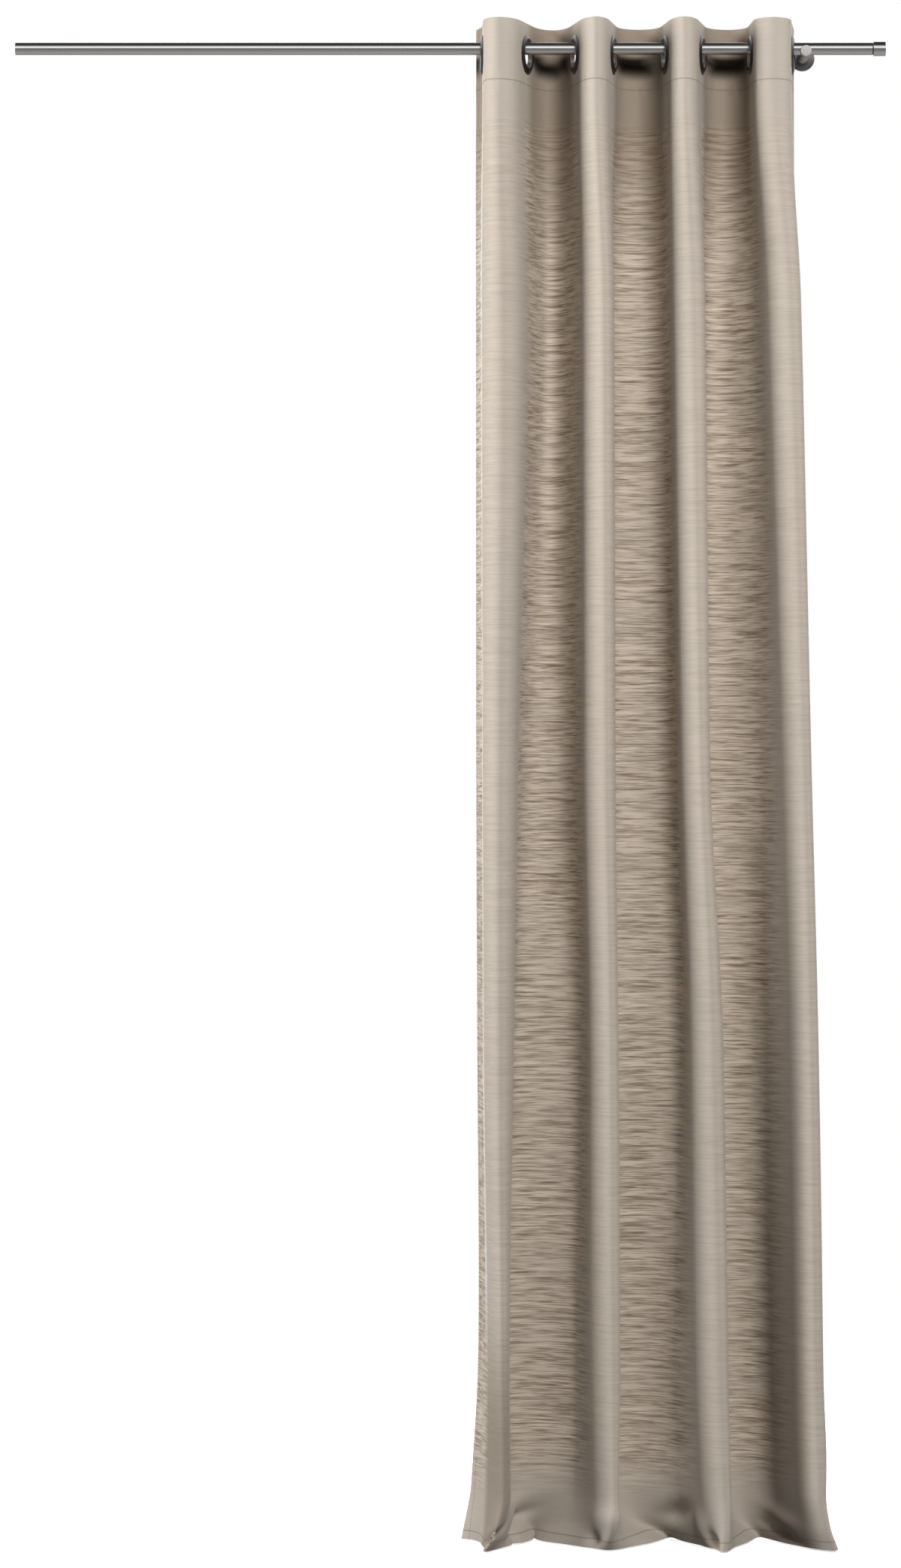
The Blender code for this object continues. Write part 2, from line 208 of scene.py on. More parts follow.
class Graph(Tree):
    """The node tree of one material, with its Principled shader."""

    def __init__(self, name: str) -> None:
        """Start a material with an empty Principled graph."""
        self.material = bpy.data.materials.new(name)
        self.material.use_nodes = True
        super().__init__(self.material.node_tree)
        self.shader = self.tree.nodes["Principled BSDF"]

    def principled(self, **values: Any) -> None:
        """Set the shader's sockets, named with underscores for spaces."""
        for key, value in values.items():
            self.feed(self.shader.inputs[key.replace("_", " ")], value)

    def object_point(self) -> bpy.types.NodeSocket:
        """Object coordinates."""
        return self.node("ShaderNodeTexCoord", {}, {}).outputs["Object"]

    def uv_point(self, layer: str) -> bpy.types.NodeSocket:
        """Coordinates of a UV map."""
        return self.node("ShaderNodeUVMap", {"uv_map": layer}, {}).outputs["UV"]

    def split(self, vector: bpy.types.NodeSocket) -> tuple["Value", "Value", "Value"]:
        """The three components of a vector."""
        parts = self.node("ShaderNodeSeparateXYZ", {}, {0: vector}).outputs
        return Value(self, parts[0]), Value(self, parts[1]), Value(self, parts[2])

    def stretched(self, vector: bpy.types.NodeSocket, scale: Sequence[float]) -> bpy.types.NodeSocket:
        """A vector with each axis scaled."""
        settings = {"operation": "MULTIPLY"}
        return self.node("ShaderNodeVectorMath", settings, {0: vector, 1: tuple(scale)}).outputs[0]

    def noise(self, vector: bpy.types.NodeSocket, detail: float = 2.0, rough: float = 0.5) -> "Value":
        """A noise texture at scale 1 of this vector, from 0 to 1."""
        values = {"Vector": vector, "Scale": 1.0, "Detail": detail, "Roughness": rough}
        return Value(self, self.node("ShaderNodeTexNoise", {}, values).outputs[0])

    def attribute(self, name: str) -> "Value":
        """A float attribute of the mesh."""
        return Value(self, self.node("ShaderNodeAttribute", {"attribute_name": name}, {}).outputs["Fac"])

    def mix(self, share: Any, first: Any, second: Any) -> bpy.types.NodeSocket:
        """A colour between two colours.

        Args:
            share: 0 for the first, 1 for the second.
            first: a colour or a colour socket.
            second: a colour or a colour socket.

        Returns:
            The mixed colour's socket.
        """
        settings = {"data_type": "RGBA", "blend_type": "MIX"}
        return self.node("ShaderNodeMix", settings, {0: share, 6: first, 7: second}).outputs[2]

    def bump(self, height: "Value", depth: float, strength: float = 1.0) -> bpy.types.NodeSocket:
        """A bumped normal for a height from 0 to 1 that stands for this depth in metres."""
        values = {"Strength": strength, "Distance": depth, "Height": height}
        return self.node("ShaderNodeBump", {}, values).outputs[0]


def rgba(colour: Sequence[float], gain: float = 1.0) -> tuple[float, float, float, float]:
    """A linear colour with alpha, scaled by a gain."""
    return (colour[0] * gain, colour[1] * gain, colour[2] * gain, 1.0)


# ---- finishes ---------------------------------------------------------------------------------


@dataclass(frozen=True)
class BrushedMetal:
    """Metal with fine grain, either along X or round an axis that points along Y."""

    name: str
    colour: Triple
    roughness: float
    turned: bool = False
    grain_per_m: float = 900.0
    grain_length_per_m: float = 5.0
    contrast: float = 0.12
    cloud_per_m: Triple = (30.0, 90.0, 90.0)
    grain_rough: float = 0.03
    cloud_rough: float = 0.04

    def make(self) -> bpy.types.Material:
        """Build the material."""
        graph = Graph(self.name)
        point = graph.object_point()
        if self.turned:
            x, _, z = graph.split(point)
            radius = (x * x + z * z).root()
            grain_point = graph.node("ShaderNodeCombineXYZ", {}, {0: radius * self.grain_per_m}).outputs[0]
        else:
            across = self.grain_per_m
            grain_point = graph.stretched(point, (self.grain_length_per_m, across, across))
        grain = graph.noise(grain_point, 3.0, 0.6)
        cloudy = graph.noise(graph.stretched(point, self.cloud_per_m), 2.0)
        colour = graph.mix(self.contrast * grain, rgba(self.colour), rgba(self.colour, 0.4))
        rough = self.roughness + self.grain_rough * (grain - 0.5) + self.cloud_rough * (cloudy - 0.5)
        graph.principled(Base_Color=colour, Roughness=rough, Metallic=1.0)
        return graph.material


@dataclass(frozen=True)
class PlatedMetal:
    """Bright plating with faint smears and tiny pits."""

    name: str
    colour: Triple
    roughness: float
    smear_per_m: float = 120.0
    pit_per_m: float = 2200.0

    def make(self) -> bpy.types.Material:
        """Build the material."""
        graph = Graph(self.name)
        point = graph.object_point()
        smears = graph.noise(graph.stretched(point, (self.smear_per_m,) * 3), 4.0, 0.6)
        pits = graph.noise(graph.stretched(point, (self.pit_per_m,) * 3), 1.0)
        colour = graph.mix(smears, rgba(self.colour, 0.82), rgba(self.colour, 1.1))
        rough = self.roughness + 0.10 * (smears - 0.4)
        normal = graph.bump(pits, 0.000006)
        graph.principled(Base_Color=colour, Roughness=rough, Metallic=1.0, Normal=normal)
        return graph.material


@dataclass(frozen=True)
class MouldedNylon:
    """Black moulded nylon with a fine grain."""

    name: str = "moulded_nylon"
    colour: Triple = (0.018, 0.018, 0.018)
    grain_per_m: float = 3000.0

    def make(self) -> bpy.types.Material:
        """Build the material."""
        graph = Graph(self.name)
        grain = graph.noise(graph.stretched(graph.object_point(), (self.grain_per_m,) * 3), 2.0)
        colour = graph.mix(grain, rgba(self.colour), rgba(self.colour, 1.6))
        normal = graph.bump(grain, 0.00003)
        graph.principled(Base_Color=colour, Roughness=0.45 + 0.2 * grain, Normal=normal)
        return graph.material


@dataclass(frozen=True)
class EyeletPlating:
    """Black nickel on the flanges, and a bright bore where the pole has rubbed it."""

    name: str = "eyelet_plating"
    black: Triple = (0.014, 0.0135, 0.013)
    bright: Triple = (0.60, 0.59, 0.57)
    bore_r: float = 0.0202
    flange_r: float = 0.0210
    smear_per_m: float = 140.0

    def make(self) -> bpy.types.Material:
        """Build the material."""
        graph = Graph(self.name)
        smears = graph.noise(graph.stretched(graph.object_point(), (self.smear_per_m,) * 3), 3.0, 0.6)
        worn = graph.attribute(RADIUS_ATTRIBUTE).ramp(self.flange_r, self.bore_r)
        dark = graph.mix(smears, rgba(self.black, 0.8), rgba(self.black, 1.5))
        colour = graph.mix(worn, dark, rgba(self.bright))
        rough = 0.34 + 0.10 * smears - 0.10 * worn
        graph.principled(Base_Color=colour, Roughness=rough, Metallic=worn, Specular_IOR_Level=0.35)
        return graph.material


@dataclass(frozen=True)
class Shade:
    """A soft patch of painted shade on the cloth's front face; a pale one is painted light.

    Each pair is a ramp, from where the patch is absent to where it is full: across and down in metres
    of flat cloth, and deep in shares of the folds' depth.
    """

    amount: float
    tint: Triple
    across: tuple[Point, ...] = ()
    down: tuple[Point, ...] = ()
    deep: tuple[Point, ...] = ()
    patchy: tuple[Point, ...] = ()

    def share(self, front: Value, across: Value, down: Value, deep: Value, patches: Value) -> Value:
        """How much of the painted colour each point takes."""
        share = self.amount * front
        fields = ((self.across, across), (self.down, down), (self.deep, deep), (self.patchy, patches))
        for ramps, value in fields:
            for ramp in ramps:
                share = share * value.ramp(*ramp)
        return share


# Painted shade and painted light on the front of the cloth, standing in for how the studio light falls on
# the folds.
PAINTED_CLOTH_SHADING = (
    # Painted shade deep in the recesses below the heading, fading out by 0.42 m down.
    Shade(0.62, (0.200, 0.148, 0.100), down=((0.42, 0.13),), deep=((0.42, 0.80),)),
    # Painted shade on the left flank of the right-hand fold, deepening towards the hem.
    Shade(0.62, (0.120, 0.0888, 0.060), across=((1.03, 1.09), (1.19, 1.15)), down=((1.0, 2.2),)),
    # Painted shade on the left fold near the lower left corner, darker towards the hem.
    Shade(0.55, (0.160, 0.1184, 0.080), across=((0.20, 0.16), (0.06, 0.10)), down=((2.02, 2.28),)),
    # Painted highlight along the left fold line where the rim light falls, fading out towards the hem.
    Shade(0.70, (0.72, 0.71, 0.68), across=((0.096, 0.080), (0.062, 0.072)), down=((2.20, 2.00),)),
    # Painted shadow of the pole just under it, deep in the recesses, broken into patches.
    Shade(
        0.97, (0.010, 0.0074, 0.005), down=((0.040, 0.052), (0.088, 0.062)), deep=((0.62, 0.98),),
        patchy=((0.10, 0.50),),
    ),
)


@dataclass(frozen=True)
class SlubCloth:
    """Plain-woven cloth with slubbed weft threads: uneven dashes that run across the drop.

    The UV map holds metres of flat cloth: across in U, and down from the top in V.
    """

    name: str = "slub_cloth"
    colour: Triple = (0.498, 0.444, 0.384)
    dark: Triple = (0.200, 0.148, 0.100)
    pale: Triple = (0.700, 0.605, 0.505)
    plain_top: float = 0.145
    plain_hem: float = 2.345
    top_fade: float = 0.03
    hem_fade: float = 0.05
    seams: Point = (0.0985, 2.436)
    seam_ramp: Point = (0.0016, 0.0005)
    seam_amount: float = 0.38
    weft_per_m: Point = (26.0, 560.0)
    warp_per_m: Point = (820.0, 60.0)
    patch_per_m: Point = (7.0, 14.0)
    smoke_per_m: Point = (22.0, 30.0)
    dash_per_m: Point = (22.0, 520.0)
    long_dash_per_m: Point = (9.9, 176.8)
    dash_gain: float = 3.0
    long_dash_gain: float = 2.6
    pale_share: float = 0.60
    streak_amount: float = 0.86
    streak_least: float = 0.18
    streak_deep: Point = (0.16, 0.60)
    patch_least: float = 0.55
    patch_gain: float = 0.9
    weft_dark: float = 0.20
    warp_dark: float = 0.08
    relief: float = 0.00025
    relief_strength: float = 0.6

    def make(self) -> bpy.types.Material:
        """Build the material."""
        graph = Graph(self.name)
        point = graph.uv_point(CLOTH_UV)
        across, down, _ = graph.split(point)
        depth = graph.attribute(DEPTH_ATTRIBUTE)
        slubbed = down.ramp(self.plain_top, self.plain_top + self.top_fade)
        slubbed = slubbed * down.ramp(self.plain_hem + self.hem_fade, self.plain_hem - self.hem_fade)

        weft = graph.noise(graph.stretched(point, (*self.weft_per_m, 1.0)), 1.0)
        warp = graph.noise(graph.stretched(point, (*self.warp_per_m, 1.0)), 1.0)
        dash = graph.noise(graph.stretched(point, (*self.dash_per_m, 1.0)), 2.5, 0.6)
        long_dash = graph.noise(graph.stretched(point, (*self.long_dash_per_m, 1.0)), 2.5, 0.6)
        patch = graph.noise(graph.stretched(point, (*self.patch_per_m, 1.0)), 2.0)
        # Partly painted light: the slub streaks are the cloth's own, but their contrast grows with the
        # fold's depth to stand in for grazing light on the weave in the recesses.
        deep = self.streak_least + (1.0 - self.streak_least) * depth.ramp(*self.streak_deep)
        strength = slubbed * deep * (self.patch_least + self.patch_gain * patch)

        share = self.pale_share + self.dash_gain * (dash - 0.5) + self.long_dash_gain * (long_dash - 0.5)
        streaked = graph.mix(share, rgba(self.dark), rgba(self.pale))
        tone = graph.mix(self.streak_amount * strength, rgba(self.colour), streaked)
        tone = graph.mix(self.weft_dark * weft + self.warp_dark * warp, tone, rgba(self.dark))
        front = graph.attribute(FRONT_ATTRIBUTE)
        # Noise that breaks the painted shadow under the pole into patches.
        shadow_breakup = graph.noise(graph.stretched(point, (*self.smoke_per_m, 1.0)), 0.0)
        # Mix in the painted shade and painted light of the front face.
        for shade in PAINTED_CLOTH_SHADING:
            tone = graph.mix(shade.share(front, across, down, depth, shadow_breakup), tone, rgba(shade.tint))
        for seam in self.seams:
            line = (down - seam).size().ramp(*self.seam_ramp)
            tone = graph.mix(self.seam_amount * line, tone, rgba(self.dark))
        height = 0.45 * weft + 0.20 * warp + strength * (1.6 * (dash - 0.5) + (long_dash - 0.5))
        normal = graph.bump(height, self.relief, self.relief_strength)
        graph.principled(Base_Color=tone, Roughness=0.82 + 0.08 * weft, Normal=normal)
        graph.principled(Sheen_Weight=0.12, Sheen_Roughness=0.45, Specular_IOR_Level=0.18)
        return graph.material


@dataclass(frozen=True)
class SewingThread:
    """Matt thread in the cloth's colour."""

    name: str = "sewing_thread"
    colour: Triple = (0.27, 0.215, 0.165)
    twist_per_m: float = 1500.0

    def make(self) -> bpy.types.Material:
        """Build the material."""
        graph = Graph(self.name)
        twist = graph.noise(graph.stretched(graph.object_point(), (self.twist_per_m,) * 3), 1.0)
        colour = graph.mix(twist, rgba(self.colour, 0.7), rgba(self.colour, 1.15))
        graph.principled(Base_Color=colour, Roughness=0.8, Sheen_Weight=0.3)
        return graph.material


@dataclass(frozen=True)
class StudioFloor:
    """Near-white floor that fades out at its rim."""

    name: str = "studio_floor"
    colour: Triple = (0.93, 0.93, 0.93)
    fade_from: float = 1.4
    fade_to: float = 2.6
    glow: float = 0.52

    def make(self) -> bpy.types.Material:
        """Build the material."""
        graph = Graph(self.name)
        x, y, _ = graph.split(graph.object_point())
        radius = (x * x + y * y).root()
        alpha = radius.ramp(self.fade_to, self.fade_from)
        graph.principled(Base_Color=rgba(self.colour), Roughness=0.9, Alpha=alpha)
        graph.principled(Emission_Color=(1, 1, 1, 1), Emission_Strength=self.glow)
        return graph.material


# ---- mesh helpers -----------------------------------------------------------------------------


def link(name: str, mesh: bpy.types.Mesh) -> bpy.types.Object:
    """Make an object of a mesh and put it in the scene."""
    obj = bpy.data.objects.new(name, mesh)
    bpy.context.scene.collection.objects.link(obj)
    return obj


def mesh_of(name: str, points: Array, faces: Sequence[Sequence[int]]) -> bpy.types.Mesh:
    """A mesh of points and faces, shaded smooth."""
    mesh = bpy.data.meshes.new(name)
    mesh.from_pydata([tuple(map(float, p)) for p in points], [], [list(map(int, f)) for f in faces])
    mesh.validate(clean_customdata=False)
    mesh.shade_smooth()
    return mesh


def axes_along(axis: Sequence[float]) -> Matrix:
    """A rotation whose Z is this axis, and whose X points down where the axis is level."""
    local_z = Vector(axis).normalized()
    local_x = Vector((1, 0, 0)) if abs(local_z.z) > 0.5 else Vector((0, 0, -1))
    return Matrix((local_x, local_z.cross(local_x), local_z)).transposed()


def lathe(
    name: str, profile: Sequence[Point], centre: Sequence[float], axis: Sequence[float],
    sides: int = 96, closed: bool = False,
) -> bpy.types.Object:
    """Turn a profile about an axis.

    Args:
        name: the object's name.
        profile: (radius, height) pairs down the outer side. An open one starts and ends at radius 0.
        centre: where height 0 lies.
        axis: the direction of growing height.
        sides: facets round the axis.
        closed: whether the profile is the closed section of a ring.

    Returns:
        The new object, its place in its mesh.
    """
    turn = axes_along(axis)
    rings: list[list[int]] = []
    points: list[Vector] = []
    for radius, height in profile:
        if radius < TINY:
            rings.append([len(points)] * sides)
            points.append(Vector(centre) + turn @ Vector((0, 0, height)))
            continue
        rings.append(list(range(len(points), len(points) + sides)))
        for i in range(sides):
            angle = 2 * math.pi * i / sides
            local = Vector((radius * math.cos(angle), radius * math.sin(angle), height))
            points.append(Vector(centre) + turn @ local)
    faces = []
    pairs = list(zip(rings, rings[1:])) + ([(rings[-1], rings[0])] if closed else [])
    for upper, lower in pairs:
        for i in range(sides):
            j = (i + 1) % sides
            corners = [upper[i], lower[i], lower[j], upper[j]]
            faces.append(list(dict.fromkeys(corners)))
    mesh = mesh_of(name, np.array([tuple(p) for p in points]), faces)
    mesh.set_sharp_from_angle(angle=math.radians(LATHE_SHARP_DEG))
    away = [((p - Vector(centre)).cross(turn.col[2])).length for p in points]
    mesh.attributes.new(RADIUS_ATTRIBUTE, "FLOAT", "POINT").data.foreach_set("value", away)
    return link(name, mesh)


def rounded(profile: Sequence[Point], radii: dict[int, float], steps: int = 5) -> list[Point]:
    """Round some corners of a profile.

    Args:
        profile: the corners.
        radii: the distance from the corner at which its rounding starts, by the corner's index.
        steps: points of each rounding.

    Returns:
        The rounded profile.
    """
    out: list[Point] = []
    count = len(profile)
    for i, corner in enumerate(profile):
        if i not in radii:
            out.append(corner)
            continue
        here = Vector(corner)
        before = Vector(profile[i - 1]) - here
        after = Vector(profile[(i + 1) % count]) - here
        start = here + before.normalized() * radii[i]
        end = here + after.normalized() * radii[i]
        for step in range(steps + 1):
            t = step / steps
            point = start * (1 - t) ** 2 + here * (2 * t * (1 - t)) + end * t**2
            out.append((point.x, point.y))
    return out


def axis_of(name: str) -> Point:
    """The y and z of the middle of a part's box."""
    low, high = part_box(name)
    return (low.y + high.y) / 2, (low.z + high.z) / 2


def dress(obj: bpy.types.Object, material: bpy.types.Material) -> bpy.types.Object:
    """Give an object its material."""
    obj.data.materials.clear()
    obj.data.materials.append(material)
    return obj


def cut_from(obj: bpy.types.Object, cutter: bpy.types.Object) -> None:
    """Cut one mesh out of another for good, and remove the cutter."""
    boolean = obj.modifiers.new("cut", "BOOLEAN")
    boolean.object = cutter
    boolean.solver = "EXACT"
    graph = bpy.context.evaluated_depsgraph_get()
    result = bpy.data.meshes.new_from_object(obj.evaluated_get(graph))
    obj.modifiers.clear()
    obj.data = result
    bpy.data.objects.remove(cutter, do_unlink=True)


@dataclass
class Palette:
    """Every material, made once."""

    steel: bpy.types.Material
    turned_steel: bpy.types.Material
    dark_steel: bpy.types.Material
    zinc: bpy.types.Material
    nickel: bpy.types.Material
    nylon: bpy.types.Material
    cloth: bpy.types.Material
    thread: bpy.types.Material
    floor: bpy.types.Material

    @classmethod
    def mixed(cls) -> "Palette":
        """Build all the materials."""
        return cls(
            steel=BrushedMetal("satin_steel", (0.42, 0.41, 0.395), 0.24).make(),
            turned_steel=BrushedMetal("turned_steel", (0.50, 0.48, 0.455), 0.50, turned=True).make(),
            dark_steel=BrushedMetal("turned_dark_steel", (0.17, 0.163, 0.155), 0.34, turned=True).make(),
            zinc=PlatedMetal("zinc_plate", (0.55, 0.55, 0.56), 0.35).make(),
            nickel=EyeletPlating().make(),
            nylon=MouldedNylon().make(),
            cloth=SlubCloth().make(),
            thread=SewingThread().make(),
            floor=StudioFloor().make(),
        )


# ---- hardware ---------------------------------------------------------------------------------


@dataclass
class Pole:
    """The thin steel tube and its end cap with the nylon plug."""

    wall: float = 0.001
    edge: float = 0.0003
    cap_edge: float = 0.0009

    def build(self, palette: Palette) -> bpy.types.Object:
        """Build the tube and the cap."""
        low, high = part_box("pole_tube")
        radius = (high.z - low.z) / 2
        middle = axis_of("pole_tube")
        inner = radius - self.wall
        length = high.x - low.x
        profile = [(inner, length), (radius, length), (radius, 0.0), (inner, 0.0)]
        profile = rounded(profile, {i: self.edge for i in range(4)}, 3)
        pole = lathe("pole", profile, (low.x, *middle), (1, 0, 0), closed=True)
        dress(pole, palette.steel)
        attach(pole, "pole")
        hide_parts("pole_tube")

        low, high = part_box("end_cap")
        radius = (high.z - low.z) / 2
        length = high.x - low.x
        profile = [(0.0, length), (radius, length), (radius, 0.0), (0.0, 0.0)]
        profile = rounded(profile, {1: self.cap_edge, 2: self.edge}, 6)
        cap = lathe("pole_end_cap", profile, (low.x, *middle), (1, 0, 0))
        dress(cap, palette.steel)
        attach(cap, "end_cap_set")
        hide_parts("end_cap")
        return pole


@dataclass
class Bracket:
    """Arm with an open saddle, and the cover over the wall disc."""

    clearance: float = 0.0003
    edge: float = 0.0007
    sharp_deg: float = 35.0
    cover_wall: float = 0.0012
    cover_edge: float = 0.0016
    cover_rim: float = 0.0003

    def build(self, palette: Palette) -> None:
        """Build the arm and the cover."""
        low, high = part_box("bracket_arm")
        radius = (high.x - low.x) / 2
        length = high.y - low.y
        profile = [(0.0, length), (radius, length), (radius, 0.0), (0.0, 0.0)]
        profile = rounded(profile, {1: self.edge, 2: self.edge}, 5)
        arm = lathe("curtain_bracket_arm", profile, (0, high.y, 0), (0, -1, 0))
        pole_low, pole_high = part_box("pole_tube")
        pole_y, pole_z = axis_of("pole_tube")
        seat_r = (pole_high.z - pole_low.z) / 2 + self.clearance
        reach = 2 * radius
        trough = [(0.0, 2 * reach), (seat_r, 2 * reach), (seat_r, 0.0), (0.0, 0.0)]
        cut_from(arm, lathe("seat_cut", trough, (-reach, pole_y, pole_z), (1, 0, 0)))
        sides = ((-reach, reach), (-seat_r, seat_r), (0, reach))
        corners = [(x, pole_y + y, pole_z + z) for x in sides[0] for y in sides[1] for z in sides[2]]
        box_faces = [(0, 1, 3, 2), (4, 6, 7, 5), (0, 4, 5, 1), (2, 3, 7, 6), (0, 2, 6, 4), (1, 5, 7, 3)]
        cut_from(arm, link("mouth_cut", mesh_of("mouth_cut", np.array(corners), box_faces)))
        arm.data.shade_smooth()
        arm.data.set_sharp_from_angle(angle=math.radians(self.sharp_deg))
        dress(arm, palette.turned_steel)
        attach(arm, "bracket")
        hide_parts("bracket_arm")

        low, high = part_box("rosette")
        outer = (high.x - low.x) / 2
        depth = high.y - low.y
        hole = radius + self.clearance
        inner = outer - self.cover_wall
        floor = depth - self.cover_wall
        profile = [(hole, depth), (outer, depth), (outer, 0.0), (inner, 0.0), (inner, floor), (hole, floor)]
        rounding = {0: self.cover_rim, 1: self.cover_edge, 2: self.cover_rim}
        profile = rounded(profile, rounding, 6)
        cover = lathe("wall_cover", profile, (0, high.y, 0), (0, -1, 0), closed=True)
        dress(cover, palette.dark_steel)
        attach(cover, "bracket")
        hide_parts("rosette")


def dress_hidden_hardware(nodes: dict[str, bpy.types.Object], palette: Palette) -> None:
    """Give the CAD parts that stay their materials."""
    looks = {
        "fixing_disc": palette.dark_steel,
        "wall_screw_left": palette.zinc,
        "wall_screw_right": palette.zinc,
        "arm_stud": palette.zinc,
        "pole_clamp_screw": palette.zinc,
        "cap_plug": palette.nylon,
    }
    for name, material in looks.items():
        nodes[name].data.materials.clear()
        nodes[name].data.materials.append(material)


# ---- curtain ----------------------------------------------------------------------------------


def eased(share: Any) -> Any:
    """A smooth step of a number or an array, from 0 at 0 to 1 at 1."""
    share = np.clip(share, 0, 1)
    return share * share * (3 - 2 * share)


@dataclass(frozen=True)
class FoldLine:
    """One upright line of cloth, through an eyelet, where the cloth crosses the pole's plane.

    x and lean are given at the key drops: where it crosses, and how many degrees the cloth leans from
    square to the pole, positive where it goes on to +X.
    """

    x: tuple[float, ...]
    lean: tuple[float, ...]


@dataclass(frozen=True)
class Tuck:
    """A small dent where the cloth buckles, in flat metres. A negative depth is a bulge."""

    across: float
    down: float
    length: float
    height: float
    slant: float
    depth: float

    def field(self, u: Array, v: Array) -> Array:
        """How far each point of the flat cloth is pushed in."""
        angle = math.radians(self.slant)
        du, dv = u - self.across, v - self.down
        along = du * math.cos(angle) + dv * math.sin(angle)
        beside = -du * math.sin(angle) + dv * math.cos(angle)
        return self.depth * np.exp(-((along / self.length) ** 2) - (beside / self.height) ** 2)


@dataclass(frozen=True)
class Surface:
    """The cloth's middle surface: points[r, c] lies on row r and column c."""

    points: Array
    normals: Array
    columns: Array
    rows: Array


HEM_TUCKS = (
    Tuck(0.150, 2.428, 0.045, 0.008, -22, 0.010),
    Tuck(0.268, 2.420, 0.045, 0.009, -20, 0.012),
    Tuck(0.265, 2.396, 0.050, 0.013, -20, -0.006),
    Tuck(0.246, 2.446, 0.010, 0.018, 0, 0.008),
    Tuck(0.470, 2.436, 0.016, 0.012, 20, 0.013),
    Tuck(0.500, 2.400, 0.050, 0.020, 0, -0.005),
    Tuck(0.720, 2.405, 0.036, 0.015, -25, 0.015),
    Tuck(0.790, 2.420, 0.016, 0.028, 0, -0.008),
    Tuck(0.820, 2.436, 0.014, 0.012, 25, 0.014),
    Tuck(1.085, 2.434, 0.040, 0.009, 14, 0.013),
    Tuck(1.090, 2.406, 0.045, 0.013, 14, -0.007),
    Tuck(1.215, 2.300, 0.030, 0.080, 8, -0.003),
)


